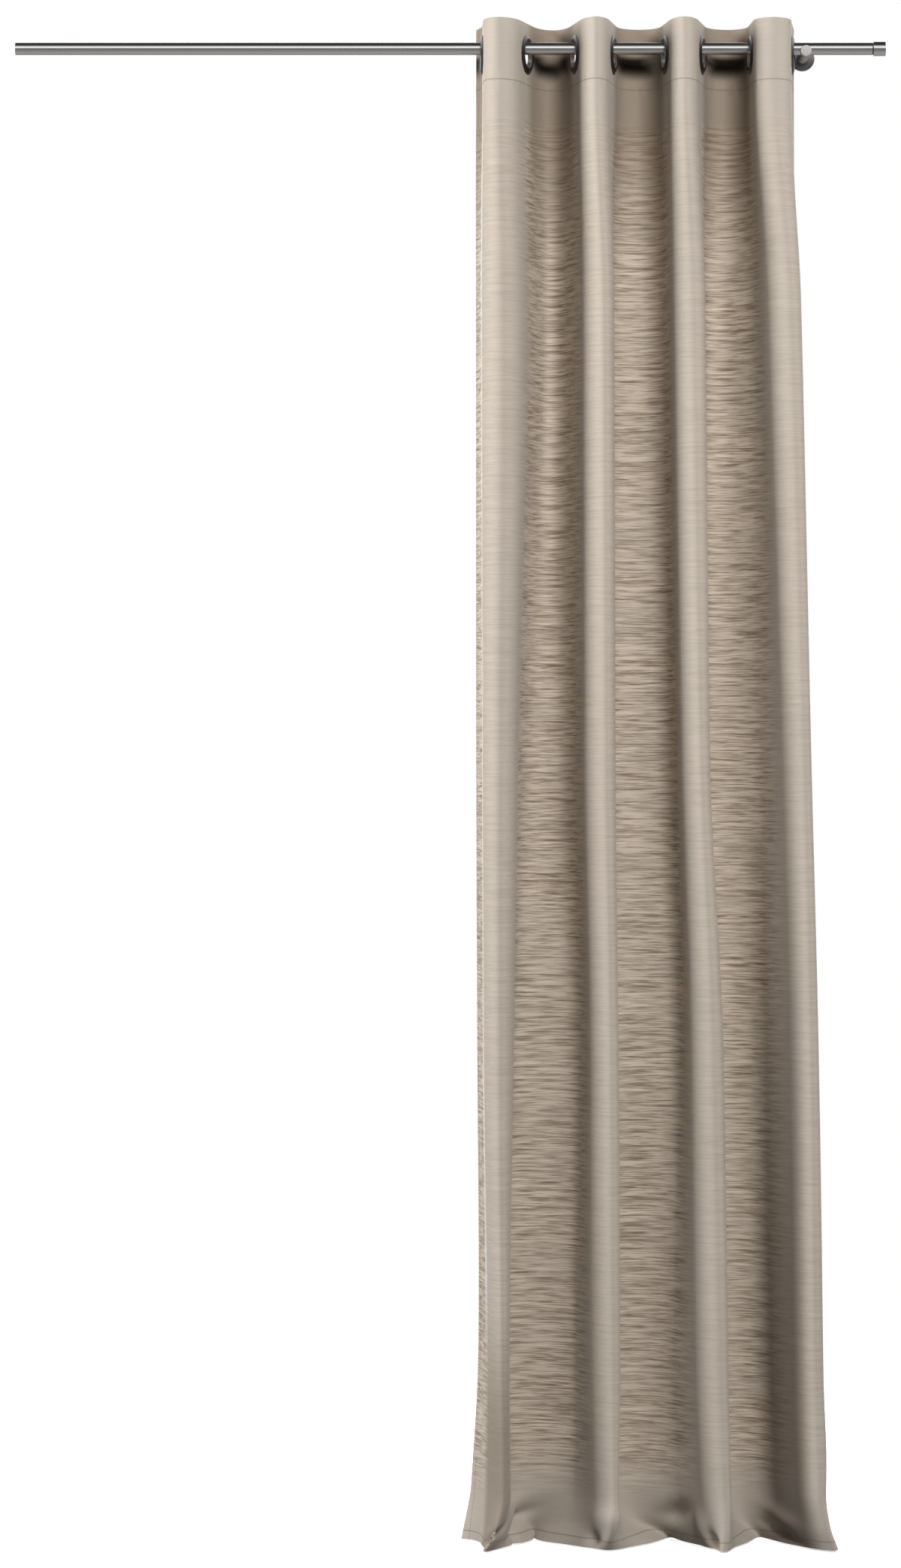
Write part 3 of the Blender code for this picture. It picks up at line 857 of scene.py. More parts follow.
@dataclass
class Curtain:
    """The gathered cloth. All lengths are in metres of flat cloth or of the row frame."""

    drop: float = 2.45
    pitch: float = 0.172
    edge: float = 0.070
    thickness: float = 0.0007
    column_step: float = 0.004
    row_step: float = 0.009
    fine_row_step: float = 0.004
    flat_half: float = 0.033
    loose_half: float = 0.016
    flat_until: float = 0.095
    loose_from: float = 0.330
    hole_r: float = 0.0255
    heading: float = 0.0985
    hem: float = 0.014
    side_hem: float = 0.014
    hole_overlap: float = 0.002
    fine_margin: float = 0.01
    fine_hem: float = 0.16
    fold_reach: float = 0.06
    still_until: float = 0.11
    still_fade: float = 0.25
    seed: int = 7
    ripples: int = 16
    ripple_waves: Point = (3, 13)
    ripple_slant: float = 0.5
    ripple_depth: float = 0.00035
    gathers: tuple[Triple, ...] = ((0.55, 46, 0.0), (0.45, 71, 1.0))
    gather_height: float = 0.011
    gather_depth: float = 0.0008
    blend_slope: float = 0.06
    blend_tries: int = 61
    blend_near: float = 0.02
    blend_margin: float = 0.004
    blend_clearance: float = 0.003
    fold_steps: int = 60
    tail_steps: int = 40
    halvings: int = 26
    straight_share: float = 0.6
    key_drops: tuple[float, ...] = (0.0, 0.10, 0.45, 1.17, 1.66, 2.14, 2.36, 2.41, 2.45)
    lines: tuple[FoldLine, ...] = (
        FoldLine(
            (-0.520, -0.520, -0.5224, -0.5224, -0.521, -0.516, -0.518, -0.520, -0.5236),
            (1.6, 1.6, 3, 3, 4, 8, 13, 12, 4),
        ),
        FoldLine(
            (-0.449, -0.449, -0.4437, -0.4607, -0.4716, -0.4825, -0.480, -0.476, -0.4680),
            (17.9, 17.9, 14, 6, 0, -6, -5, 10, 34),
        ),
        FoldLine(
            (-0.3715, -0.3715, -0.3687, -0.3675, -0.359, -0.3639, -0.3620, -0.368, -0.388),
            (11.9, 11.9, 16, 16, 17, 24, 29, 36, 46),
        ),
        FoldLine(
            (-0.310, -0.310, -0.3119, -0.3119, -0.3094, -0.3082, -0.3120, -0.3020, -0.264),
            (10.9, 10.9, -2, -7, -9, -10, -9, 4, 38),
        ),
        FoldLine(
            (-0.226, -0.226, -0.2223, -0.2102, -0.1981, -0.2018, -0.1945, -0.1880, -0.176),
            (8.9, 8.9, 9, 12, 15, 28, 32, 33, 28),
        ),
        FoldLine(
            (-0.167, -0.167, -0.163, -0.1606, -0.140, -0.1328, -0.1290, -0.1220, -0.102),
            (11.5, 11.5, -2, -7, -9, -9, -8, 2, 24),
        ),
        FoldLine(
            (-0.088, -0.088, -0.0796, -0.0614, -0.0517, -0.0445, -0.0372, -0.0310, -0.0235),
            (3.7, 3.7, 19, 26, 28, 27, 28, 30, 32),
        ),
        FoldLine(
            (-0.022, -0.022, -0.0094, 0.0039, 0.0148, 0.0221, 0.0245, 0.0240, 0.0220),
            (6, 6, -3, -5, -5, -5, -6, -14, -32),
        ),
    )
    left_tail: tuple[float, ...] = (20, 20, 12, 9, 8, 10, 22, 36, 60)
    right_tail: tuple[float, ...] = (7, 7, 4, 2, 2, 2, 5, 10, 20)
    pole_y: float = field(init=False)
    top: float = field(init=False)

    def __post_init__(self) -> None:
        """Read the pole's plane and the cloth's height from the frame."""
        self.pole_y, _ = axis_of("pole_tube")
        self.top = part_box("cloth_heading_1")[1].z

    @property
    def width(self) -> float:
        """Flat width of the finished cloth."""
        return 2 * self.edge + self.pitch * (len(self.lines) - 1)

    def smooth(self, values: Sequence[float], drop: float) -> float:
        """Read a value between its key drops on a curve with no kinks.

        Args:
            values: one value for each key drop.
            drop: distance below the cloth's top.

        Returns:
            The value at that drop.
        """
        keys = self.key_drops
        i = int(np.clip(np.searchsorted(keys, drop) - 1, 0, len(keys) - 2))
        slopes = [(values[j + 1] - values[j]) / (keys[j + 1] - keys[j]) for j in range(len(keys) - 1)]

        def slope_at(j: int) -> float:
            if j == 0:
                return slopes[0]
            if j == len(keys) - 1:
                return slopes[-1]
            before, after = slopes[j - 1], slopes[j]
            return 0.0 if before * after <= 0 else 2 * before * after / (before + after)

        span = keys[i + 1] - keys[i]
        t = float(np.clip((drop - keys[i]) / span, 0, 1))
        h00, h10 = 2 * t**3 - 3 * t**2 + 1, t**3 - 2 * t**2 + t
        h01, h11 = -2 * t**3 + 3 * t**2, t**3 - t**2
        value = h00 * values[i] + h10 * span * slope_at(i)
        return value + h01 * values[i + 1] + h11 * span * slope_at(i + 1)

    def way(self, index: int, lean: float) -> Array:
        """Plan direction of the cloth at a fold line: even indices run to the room."""
        sign = -1.0 if index % 2 == 0 else 1.0
        angle = math.radians(lean)
        return np.array((math.sin(angle), sign * math.cos(angle)))

    def plan(self, drop: float, columns: Array) -> Array:
        """Plan of the cloth at one height.

        Args:
            drop: distance below the cloth's top.
            columns: distances across the flat cloth.

        Returns:
            One (x, y) for each column.
        """
        count = len(self.lines)
        centres = []
        ways = []
        for i, line in enumerate(self.lines):
            centres.append(np.array((self.smooth(line.x, drop), self.pole_y)))
            ways.append(self.way(i, self.smooth(line.lean, drop)))
        loosening = eased((drop - self.flat_until) / (self.loose_from - self.flat_until))
        half = self.flat_half + (self.loose_half - self.flat_half) * loosening
        out = np.zeros((len(columns), 2))
        for i in range(count - 1):
            start_u = self.edge + i * self.pitch
            inside = (columns >= start_u - TINY) & (columns <= start_u + self.pitch + TINY)
            out[inside] = self.fold(centres, ways, i, half, columns[inside] - start_u)
        tails = (
            (0, self.left_tail, -1.0, columns < self.edge),
            (count - 1, self.right_tail, 1.0, columns > self.width - self.edge),
        )
        for index, angles, sense, inside in tails:
            start_u = self.edge + index * self.pitch
            along = np.abs(columns[inside] - start_u)
            turn = self.smooth(angles, drop) * sense
            out[inside] = self.tail(centres[index], ways[index] * sense, turn, half, along)
        return out

    def fold(self, centres: list[Array], ways: list[Array], index: int, half: float, along: Array) -> Array:
        """One fold between two fold lines, as long as the flat cloth between them."""
        first, last = centres[index], centres[index + 1]
        start = first + ways[index] * half
        end = last - ways[index + 1] * half
        wanted = self.pitch - 2 * half
        t = np.linspace(0, 1, self.fold_steps + 1)[:, None]
        weights = ((1 - t) ** 3, 3 * (1 - t) ** 2 * t, 3 * (1 - t) * t**2, t**3)
        low, high = 0.0, 2 * wanted
        for _ in range(self.halvings):
            handle = (low + high) / 2
            control = (start, start + ways[index] * handle, end - ways[index + 1] * handle, end)
            curve = sum(w * c for w, c in zip(weights, control))
            lengths = np.linalg.norm(np.diff(curve, axis=0), axis=1)
            if lengths.sum() < wanted:
                low = handle
            else:
                high = handle
        line = np.vstack([first, curve, last])
        reach = np.concatenate([[0.0], half + np.concatenate([[0.0], np.cumsum(lengths)]), [self.pitch]])
        return np.stack([np.interp(along, reach, line[:, axis]) for axis in (0, 1)], axis=1)

    def tail(self, centre: Array, way: Array, turn: float, half: float, along: Array) -> Array:
        """The cloth beyond an outer fold line: straight, then bending to its own angle.

        Args:
            centre: where the fold line crosses the pole's plane.
            way: plan direction that leads out of the cloth.
            turn: end angle in degrees from straight back, positive to +X.
            half: length of the straight part.
            along: distances from the fold line.

        Returns:
            One (x, y) for each distance.
        """
        start_angle = math.atan2(way[0], way[1])
        end_angle = math.radians(turn)
        reach = np.linspace(0, self.edge, self.tail_steps + 1)
        straight = half * self.straight_share
        share = eased((reach - straight) / (self.edge - straight))
        angle = start_angle + (end_angle - start_angle) * share
        steps = np.stack([np.sin(angle), np.cos(angle)], axis=1)
        middle = (steps[1:] + steps[:-1]) / 2 * (reach[1] - reach[0])
        line = np.vstack([[0, 0], np.cumsum(middle, axis=0)]) + centre
        return np.stack([np.interp(along, reach, line[:, axis]) for axis in (0, 1)], axis=1)

    def columns(self) -> Array:
        """Distances across the flat cloth of all the grid's columns, with one on every fold line."""
        marks = [0.0] + [self.edge + i * self.pitch for i in range(len(self.lines))] + [self.width]
        out: list[float] = []
        for a, b in zip(marks, marks[1:]):
            count = max(1, round((b - a) / self.column_step))
            out += list(np.linspace(a, b, count + 1)[:-1])
        return np.array(out + [self.width])

    def rows(self) -> Array:
        """Distances below the top of all the grid's rows, closer together at the eyelets and the hem."""
        fine_top = np.arange(0, self.flat_until + self.fine_margin, self.fine_row_step)
        hem_from = self.drop - self.fine_hem
        middle_count = round((hem_from - fine_top[-1]) / self.row_step)
        middle = np.linspace(fine_top[-1], hem_from, middle_count + 1)[1:]
        hem_count = round(self.fine_hem / self.fine_row_step)
        fine_hem = np.linspace(hem_from, self.drop, hem_count + 1)[1:]
        return np.concatenate([fine_top, middle, fine_hem])

    def eyelet_drop(self) -> float:
        """Distance of the eyelets' centres below the cloth's top."""
        return self.top - axis_of("eyelet_1_front")[1]

    def surface(self) -> Surface:
        """The middle surface of the cloth."""
        columns, rows = self.columns(), self.rows()
        points = np.zeros((len(rows), len(columns), 3))
        for r, drop in enumerate(rows):
            points[r, :, :2] = self.plan(drop, columns)
            points[r, :, 2] = self.top - drop
        points += self.creases(points, columns, rows)
        across = np.gradient(points, axis=1)
        down = np.gradient(points, axis=0)
        normals = np.cross(down, across)
        normals /= np.linalg.norm(normals, axis=2, keepdims=True)
        return Surface(points, normals, columns, rows)

    def creases(self, points: Array, columns: Array, rows: Array) -> Array:
        """Small soft ripples of the hanging cloth, none of them near the eyelets."""
        u, v = columns[None, :], rows[:, None]
        rng = np.random.default_rng(self.seed)
        height = np.zeros((len(rows), len(columns)))
        for _ in range(self.ripples):
            across = rng.uniform(*self.ripple_waves)
            down = rng.uniform(-self.ripple_slant, self.ripple_slant)
            phase = rng.uniform(0, 2 * math.pi)
            wave = np.sin(2 * math.pi * (across * u + down * v) + phase)
            height += wave * self.ripple_depth
        height = height * eased((v - self.still_until) / self.still_fade)
        for tuck in HEM_TUCKS:
            height = height - tuck.field(u, v)
        gathers = sum(
            share * np.sin(2 * math.pi * waves * u + phase) for share, waves, phase in self.gathers
        )
        fade = np.exp(-(((v - self.heading) / self.gather_height) ** 2))
        height = height + self.gather_depth * gathers * fade
        across_way = np.gradient(points, axis=1)
        face = np.cross(np.array((0.0, 0.0, -1.0)), across_way)
        face /= np.linalg.norm(face, axis=2, keepdims=True)
        return face * height[:, :, None]

    def build(self, palette: Palette) -> None:
        """Build the strips of cloth between the fold lines, and their stitches."""
        surface = self.surface()
        columns = surface.columns
        marks = [self.edge + i * self.pitch for i in range(len(self.lines))]
        sewing = Stitching(self, palette.thread)
        for i in range(len(self.lines) - 1):
            start = 0.0 if i == 0 else marks[i]
            end = self.width if i == len(self.lines) - 2 else marks[i + 1]
            inside = np.where((columns >= start - TINY) & (columns <= end + TINY))[0]
            strip = self.strip(i + 1, surface, inside)
            dress(strip, palette.cloth)
            blend_start, blend_end = self.blend_span(i, surface.rows)
            stitches = sewing.run(i + 1, surface, inside)
            for piece in (strip, stitches):
                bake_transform(piece)
            panels = [i + 1, i + 2] if i == len(self.lines) - 2 else [i + 1]
            for panel in panels:
                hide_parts(*(name.format(panel) for name in CLOTH_NODES))
            flat = (float(end - start), self.drop)
            LOG.info("cloth strip %d: %.3f x %.3f m", i + 1, *flat)

    def blend_span(self, index: int, rows: Array) -> tuple[Vector, Vector]:
        """Where the strip after a fold line starts and stops following that line's panel.

        The planes of equal share lean with the folds, so that both fold lines stay on their own panels.
        """
        left, right = self.lines[index], self.lines[index + 1]
        best: Triple | None = None
        reaches = [self.flat_half * math.sin(math.radians(abs(line.lean[0]))) for line in (left, right)]
        for slope in np.linspace(-self.blend_slope, self.blend_slope, self.blend_tries):
            starts, ends = [], []
            for drop in rows[::4]:
                near = drop <= self.flat_until + self.blend_near
                gaps = [
                    max((reach if near else 0.0) + self.blend_clearance, self.blend_margin)
                    for reach in reaches
                ]
                starts.append(self.smooth(left.x, drop) + gaps[0] - slope * drop)
                ends.append(self.smooth(right.x, drop) - gaps[1] - slope * drop)
            width = min(ends) - max(starts)
            if best is None or width > best[0]:
                best = (width, slope, max(starts))
        width, slope, start = best
        LOG.info("blend %d: %.1f mm wide, slope %.3f", index + 1, width * 1000, slope)
        normal = Vector((1.0, 0.0, slope)).normalized()
        first = Vector((start, self.pole_y, self.top))
        return first, first + normal * (width * normal.x)

    def strip(self, number: int, surface: Surface, inside: Array) -> bpy.types.Object:
        """A closed shell of cloth over some of the columns, with its eyelet holes left out.

        Args:
            number: the strip's number.
            surface: the whole cloth's middle surface.
            inside: the strip's columns.

        Returns:
            The strip, with its flat UV map and its shading attributes.
        """
        grid = surface.points[:, inside]
        face_normals = surface.normals[:, inside]
        depth = np.clip((grid[:, :, 1] - self.pole_y) / self.fold_reach * 0.5 + 0.5, 0, 1)
        u, v = np.meshgrid(surface.columns[inside], surface.rows)
        flat = np.stack([u, v], axis=2)
        centres = [(self.edge + i * self.pitch, self.eyelet_drop()) for i in range(len(self.lines))]
        missing = np.zeros(u.shape, bool)
        for cu, cv in centres:
            away = np.hypot(u - cu, v - cv)
            missing |= away < self.hole_r - self.hole_overlap
        height, width = u.shape
        kept = np.ones((height - 1, width - 1), bool)
        for dr in (0, 1):
            for dc in (0, 1):
                kept &= ~missing[dr:height - 1 + dr, dc:width - 1 + dc]
        index = -np.ones(u.shape, int)
        used = np.zeros(u.shape, bool)
        for dr in (0, 1):
            for dc in (0, 1):
                used[dr:height - 1 + dr, dc:width - 1 + dc] |= kept
        index[used] = np.arange(used.sum())
        count = int(used.sum())
        half = self.thickness / 2
        front = (grid + face_normals * half)[used]
        back = (grid - face_normals * half)[used]
        r, c = np.where(kept)
        quads = np.stack([index[r, c], index[r + 1, c], index[r + 1, c + 1], index[r, c + 1]], axis=1)
        faces = np.vstack([quads, quads[:, ::-1] + count])
        edges = np.concatenate([quads[:, [0, 1]], quads[:, [1, 2]], quads[:, [2, 3]], quads[:, [3, 0]]])
        keys = edges.min(axis=1).astype(np.int64) * count + edges.max(axis=1)
        _, first, counts = np.unique(keys, return_index=True, return_counts=True)
        rim = edges[first[counts == 1]]
        walls = np.stack([rim[:, 1], rim[:, 0], rim[:, 0] + count, rim[:, 1] + count], axis=1)
        faces = np.vstack([faces, walls])
        mesh = mesh_of(f"cloth_strip_{number}", np.vstack([front, back]), faces)
        flat_uv = np.vstack([flat[used], flat[used]])
        corner = np.zeros(len(mesh.loops), int)
        mesh.loops.foreach_get("vertex_index", corner)
        layer = mesh.uv_layers.new(name=CLOTH_UV)
        layer.data.foreach_set("uv", flat_uv[corner].astype(np.float32).ravel())
        shade = mesh.attributes.new(DEPTH_ATTRIBUTE, "FLOAT", "POINT")
        shade.data.foreach_set("value", np.tile(depth[used], 2).astype(np.float32))
        face = mesh.attributes.new(FRONT_ATTRIBUTE, "FLOAT", "POINT")
        face.data.foreach_set("value", np.repeat([1.0, 0.0], count).astype(np.float32))
        both = np.vstack([face_normals[used], -face_normals[used]])
        mesh.normals_split_custom_set_from_vertices([tuple(map(float, n)) for n in both])
        return link(f"curtain_cloth_{number}", mesh)


@dataclass
class Stitching:
    """Machine stitches along the heading, the hem and the two sides of the curtain."""

    curtain: Curtain
    thread: bpy.types.Material
    stitch: float = 0.0034
    pitch: float = 0.0048
    radius: float = 0.00026
    lift: float = 0.00052

    def tree(self) -> bpy.types.NodeTree:
        """Geometry Nodes that lay one stitch at each step along a line."""
        group = bpy.data.node_groups.get("stitch_line")
        if group:
            return group
        group = bpy.data.node_groups.new("stitch_line", "GeometryNodeTree")
        face = group.interface
        face.new_socket("Geometry", in_out="INPUT", socket_type="NodeSocketGeometry")
        for name in ("Pitch", "Stitch", "Radius"):
            face.new_socket(name, in_out="INPUT", socket_type="NodeSocketFloat")
        face.new_socket("Thread", in_out="INPUT", socket_type="NodeSocketMaterial")
        face.new_socket("Geometry", in_out="OUTPUT", socket_type="NodeSocketGeometry")
        add = Tree(group).node
        given = add("NodeGroupInput", {}, {})
        curve = add("GeometryNodeMeshToCurve", {}, {"Mesh": given.outputs["Geometry"]})
        sampled = add(
            "GeometryNodeResampleCurve", {"mode": "LENGTH"},
            {"Curve": curve.outputs[0], "Length": given.outputs["Pitch"]},
        )
        ball = add("GeometryNodeMeshIcoSphere", {}, {"Radius": 1.0, "Subdivisions": 1})
        half = add("ShaderNodeMath", {"operation": "MULTIPLY"}, {0: given.outputs["Stitch"], 1: 0.5})
        thin = given.outputs["Radius"]
        size = add("ShaderNodeCombineXYZ", {}, {0: thin, 1: thin, 2: half.outputs[0]})
        tangent = add("GeometryNodeInputTangent", {}, {})
        turn = add("FunctionNodeAlignRotationToVector", {"axis": "Z"}, {"Vector": tangent.outputs[0]})
        placed = add(
            "GeometryNodeInstanceOnPoints", {},
            {
                "Points": sampled.outputs[0],
                "Instance": ball.outputs[0],
                "Rotation": turn.outputs[0],
                "Scale": size.outputs[0],
            },
        )
        real = add("GeometryNodeRealizeInstances", {}, {"Geometry": placed.outputs[0]})
        painted = add(
            "GeometryNodeSetMaterial", {},
            {"Geometry": real.outputs[0], "Material": given.outputs["Thread"]},
        )
        add("NodeGroupOutput", {}, {0: painted.outputs[0]})
        return group

    def run(self, number: int, surface: Surface, inside: Array) -> bpy.types.Object:
        """Stitch one strip of cloth on both faces.

        Args:
            number: the strip's number.
            surface: the whole cloth's middle surface.
            inside: the strip's columns.

        Returns:
            One plain mesh of all its stitches.
        """
        cloth = self.curtain
        columns = surface.columns
        lines: list[Array] = []
        for side in Side:
            height = side.value * (cloth.thickness / 2 + self.lift - self.radius)
            raised = surface.points + surface.normals * height
            for drop in (cloth.heading, cloth.drop - cloth.hem):
                lines.append(self.along_row(raised[:, inside], surface.rows, drop))
            if inside[0] == 0:
                lines.append(self.along_column(raised, columns, cloth.side_hem))
            if inside[-1] == len(columns) - 1:
                lines.append(self.along_column(raised, columns, cloth.width - cloth.side_hem))
        vertices = np.vstack(lines)
        edges: list[tuple[int, int]] = []
        start = 0
        for line in lines:
            edges += [(start + i, start + i + 1) for i in range(len(line) - 1)]
            start += len(line)
        mesh = bpy.data.meshes.new(f"stitch_path_{number}")
        mesh.from_pydata([tuple(map(float, p)) for p in vertices], edges, [])
        path = link(f"stitch_path_{number}", mesh)
        modifier = path.modifiers.new("stitches", "NODES")
        modifier.node_group = self.tree()
        values = {"Pitch": self.pitch, "Stitch": self.stitch, "Radius": self.radius, "Thread": self.thread}
        for item in modifier.node_group.interface.items_tree:
            if item.in_out == "INPUT" and item.name in values:
                modifier[item.identifier] = values[item.name]
        graph = bpy.context.evaluated_depsgraph_get()
        plain = bpy.data.meshes.new_from_object(path.evaluated_get(graph))
        bpy.data.objects.remove(path, do_unlink=True)
        plain.shade_smooth()
        return link(f"stitches_{number}", plain)

    def along_row(self, grid: Array, rows: Array, drop: float) -> Array:
        """Points of the grid at one drop."""
        r = int(np.clip(np.searchsorted(rows, drop), 1, len(rows) - 1))
        t = (drop - rows[r - 1]) / (rows[r] - rows[r - 1])
        return grid[r - 1] * (1 - t) + grid[r] * t

    def along_column(self, grid: Array, columns: Array, across: float) -> Array:
        """Points of the grid at one distance across."""
        c = int(np.clip(np.searchsorted(columns, across), 1, len(columns) - 1))
        t = (across - columns[c - 1]) / (columns[c] - columns[c - 1])
        return grid[:, c - 1] * (1 - t) + grid[:, c] * t


@dataclass
class Eyelet:
    """A plated eyelet: a front ring whose barrel passes through the cloth, and a back ring."""

    number: int
    lean: float
    bore_r: float = 0.020
    outer_r: float = 0.0315
    flange: float = 0.0034
    barrel: float = 0.0015
    gap: float = 0.0011
    rim: float = 0.0004
    crown_share: float = 0.45
    crown_rise: float = 0.0002
    bore_fall: float = 0.0012
    bore_round: float = 0.0016
    crown_round: float = 0.0030
    rim_round: float = 0.0003
    barrel_round: float = 0.0005
    back_play: float = 0.0003
    back_crown_fall: float = 0.0001
    back_bore_fall: float = 0.0005
    back_rim_round: float = 0.0002
    sides: int = 72

    def build(self, palette: Palette) -> None:
        """Build both rings on their panel."""
        low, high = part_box(f"eyelet_{self.number}_front")
        back_low, back_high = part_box(f"eyelet_{self.number}_back")
        lows = [min(a, b) for a, b in zip(low, back_low)]
        highs = [max(a, b) for a, b in zip(high, back_high)]
        centre = tuple((a + b) / 2 for a, b in zip(lows, highs))
        angle = math.radians(self.lean)
        towards_wall = -1.0 if self.number % 2 else 1.0
        axis = (towards_wall * math.cos(angle), -math.sin(angle), 0.0)
        near, far = self.gap, self.gap + self.flange
        barrel_r = self.bore_r + self.barrel
        crown = self.bore_r + self.crown_share * (self.outer_r - self.bore_r)
        front = [
            (self.bore_r, far - self.bore_fall), (crown, far + self.crown_rise),
            (self.outer_r, near + self.rim), (self.outer_r, near),
            (barrel_r, near), (barrel_r, -far), (self.bore_r, -far),
        ]
        rounding = {0: self.bore_round, 1: self.crown_round, 2: self.rim_round}
        front = rounded(front, {**rounding, 5: self.barrel_round, 6: self.barrel_round}, 6)
        ring_r = barrel_r + self.back_play
        back = [
            (ring_r, -near), (self.outer_r, -near), (self.outer_r, -near - self.rim),
            (crown, -far - self.back_crown_fall), (ring_r, -far + self.back_bore_fall),
        ]
        back = rounded(back, {2: self.back_rim_round, 3: self.crown_round}, 6)
        for name, profile in (("front", front), ("back", back)):
            title = f"eyelet_ring_{self.number}_{name}"
            ring = lathe(title, profile, centre, axis, self.sides, closed=True)
            dress(ring, palette.nickel)
            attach(ring, f"panel_{self.number}")
            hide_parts(f"eyelet_{self.number}_{name}")


# ---- studio -----------------------------------------------------------------------------------


@dataclass(frozen=True)
class Lamp:
    """A rectangular soft light: where it stands, what it faces, its size and its power in watts."""

    name: str
    at: Triple
    target: Triple
    size: Point
    power: float

    def place(self) -> None:
        """Put the lamp in the scene, unseen by the camera and by metal."""
        data = bpy.data.lights.new(self.name, "AREA")
        data.shape = "RECTANGLE"
        data.size, data.size_y = self.size
        data.energy = self.power
        lamp = bpy.data.objects.new(self.name, data)
        lamp.visible_glossy = False
        lamp.visible_camera = False
        bpy.context.scene.collection.objects.link(lamp)
        lamp.location = self.at
        lamp.rotation_mode = "QUATERNION"
        lamp.rotation_quaternion = (Vector(self.target) - Vector(self.at)).to_track_quat("-Z", "Y")


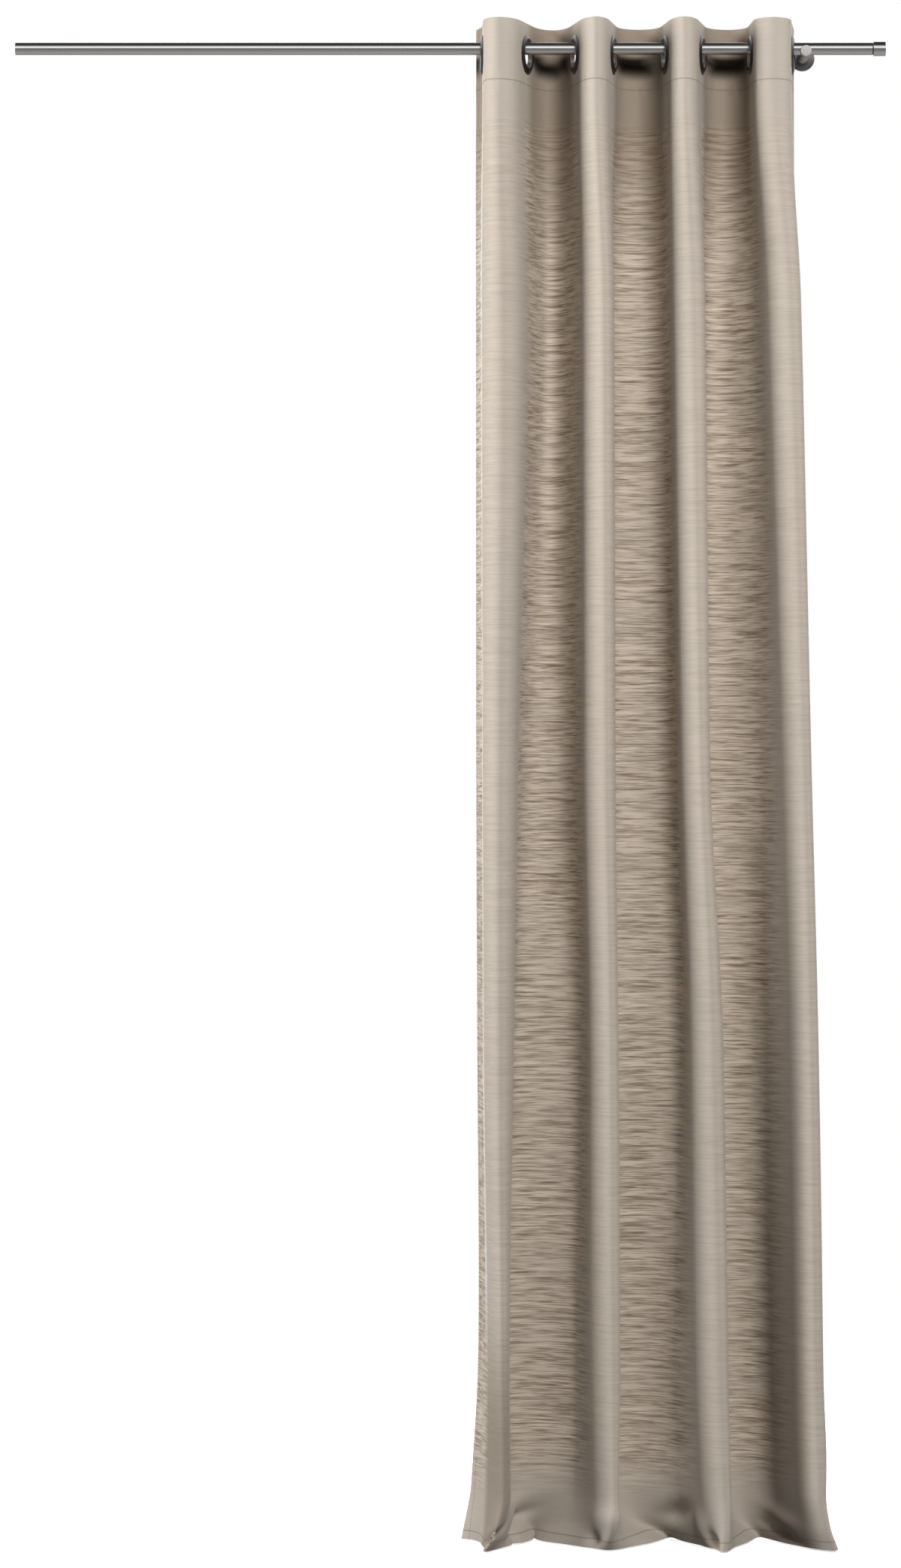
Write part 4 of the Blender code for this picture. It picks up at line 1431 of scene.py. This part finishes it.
@dataclass
class Studio:
    """Pale floor, soft light and the camera."""

    camera_at: Triple = (-0.572, -8.08, -1.1795)
    lens: float = 114.0
    middle: Triple = (-0.25, -0.08, -0.9)
    key_power: float = 310.0
    key_size: float = 1.7
    key_azimuth: float = 15.0
    key_elevation: float = 26.0
    key_distance: float = 6.0
    side_lamps: tuple[Lamp, ...] = (
        Lamp("rim", (-4.6, -0.7, 0.4), (-0.5, -0.1, -0.7), (1.4, 2.2), 240.0),
        Lamp("right_fill", (4.6, -0.7, 0.4), (0.0, -0.1, -0.8), (1.4, 2.2), 60.0),
        Lamp("back_fill", (1.4, 5.5, 0.8), (-0.25, -0.08, -0.9), (2.4, 2.4), 190.0),
    )
    sky: float = 0.26
    sky_fall: tuple[Point, Point] = ((-0.6, 0.25), (0.5, 1.0))
    shine: float = 1.0
    bands: tuple[Point, ...] = (
        (0.0, 0.72), (0.13, 0.55), (0.30, 0.36), (0.48, 0.26), (0.56, 1.3),
        (0.62, 2.6), (0.73, 2.4), (0.83, 0.7), (0.90, 0.12), (1.0, 0.06),
    )
    floor_r: float = 3.0
    floor_depth: float = 0.01
    floor_at: Point = (-0.28, -0.08)
    floor_gap: float = 0.003

    def build(self, palette: Palette, lowest: float) -> None:
        """Place the floor below the object's lowest point, the lights, the world and the camera."""
        profile = [(0.0, 0.0), (self.floor_r, 0.0), (self.floor_r, -self.floor_depth)]
        profile.append((0.0, -self.floor_depth))
        floor = lathe("studio_floor", profile, (0, 0, 0), (0, 0, 1), 64)
        floor.location = (*self.floor_at, lowest - self.floor_gap)
        floor.data.materials.append(palette.floor)
        floor.visible_diffuse = False
        floor.visible_glossy = False
        for lamp in (self.key_lamp(), *self.side_lamps):
            lamp.place()
        self.sky_light()
        self.camera()

    def key_lamp(self) -> Lamp:
        """The main light, high in front and a little to the right."""
        azimuth, elevation = math.radians(self.key_azimuth), math.radians(self.key_elevation)
        level = math.cos(elevation)
        way = Vector((math.sin(azimuth) * level, -math.cos(azimuth) * level, math.sin(elevation)))
        at = Vector(self.middle) + way * self.key_distance
        return Lamp("key", tuple(at), self.middle, (self.key_size, self.key_size), self.key_power)

    def sky_light(self) -> None:
        """A white world to the eye, a dim one to cloth, and one in bands to metal."""
        world = bpy.data.worlds.new("studio_sky")
        world.use_nodes = True
        world.node_tree.nodes.clear()
        add = Tree(world.node_tree).node
        rays = add("ShaderNodeLightPath", {}, {}).outputs
        ray = add("ShaderNodeTexCoord", {}, {}).outputs["Generated"]
        up = add("ShaderNodeSeparateXYZ", {}, {0: ray}).outputs[2]
        height = add("ShaderNodeMapRange", {}, {0: up, 1: -1.0, 2: 1.0}).outputs[0]
        bands = add("ShaderNodeValToRGB", {}, {0: height})
        ramp = bands.color_ramp
        while len(ramp.elements) < len(self.bands):
            ramp.elements.new(0.5)
        for element, (place, brightness) in zip(ramp.elements, self.bands):
            element.position = place
            element.color = (brightness, brightness, brightness, 1)
        plain = (1, 1, 1, 1)
        white = add("ShaderNodeBackground", {}, {"Color": plain, "Strength": 1.0}).outputs[0]
        (low, dark), (high, light) = self.sky_fall
        fall = add("ShaderNodeMapRange", {}, {0: up, 1: low, 2: high, 3: dark, 4: light}).outputs[0]
        level = add("ShaderNodeMath", {"operation": "MULTIPLY"}, {0: fall, 1: self.sky}).outputs[0]
        dim = add("ShaderNodeBackground", {}, {"Color": plain, "Strength": level}).outputs[0]
        lines = {"Color": bands.outputs[0], "Strength": self.shine}
        banded = add("ShaderNodeBackground", {}, lines).outputs[0]
        metal = add("ShaderNodeMixShader", {}, {0: rays["Is Glossy Ray"], 1: dim, 2: banded}).outputs[0]
        seen = add("ShaderNodeMixShader", {}, {0: rays["Is Camera Ray"], 1: metal, 2: white}).outputs[0]
        add("ShaderNodeOutputWorld", {}, {0: seen})
        bpy.context.scene.world = world
        bpy.context.scene.view_settings.view_transform = "Standard"

    def camera(self) -> None:
        """A level camera in front of the curtain."""
        data = bpy.data.cameras.new("camera")
        data.lens = self.lens
        data.sensor_width = 36.0
        data.clip_end = 200.0
        eye = bpy.data.objects.new("camera", data)
        bpy.context.scene.collection.objects.link(eye)
        eye.location = self.camera_at
        eye.rotation_euler = (math.radians(90), 0, 0)
        bpy.context.scene.camera = eye


def main() -> None:
    """Build the looks around the frame."""
    logging.basicConfig(level=logging.INFO, format="%(message)s")
    for obj in list(bpy.data.objects):
        bpy.data.objects.remove(obj, do_unlink=True)
    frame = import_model()
    palette = Palette.mixed()
    Pole().build(palette)
    LOG.info("pole and end cap")
    Bracket().build(palette)
    dress_hidden_hardware(frame["nodes"], palette)
    LOG.info("bracket")
    curtain = Curtain()
    curtain.build(palette)
    for number, line in enumerate(curtain.lines, 1):
        Eyelet(number, line.lean[0]).build(palette)
    LOG.info("eyelets")
    Studio().build(palette, curtain.top - curtain.drop)


if __name__ == "__main__":
    main()
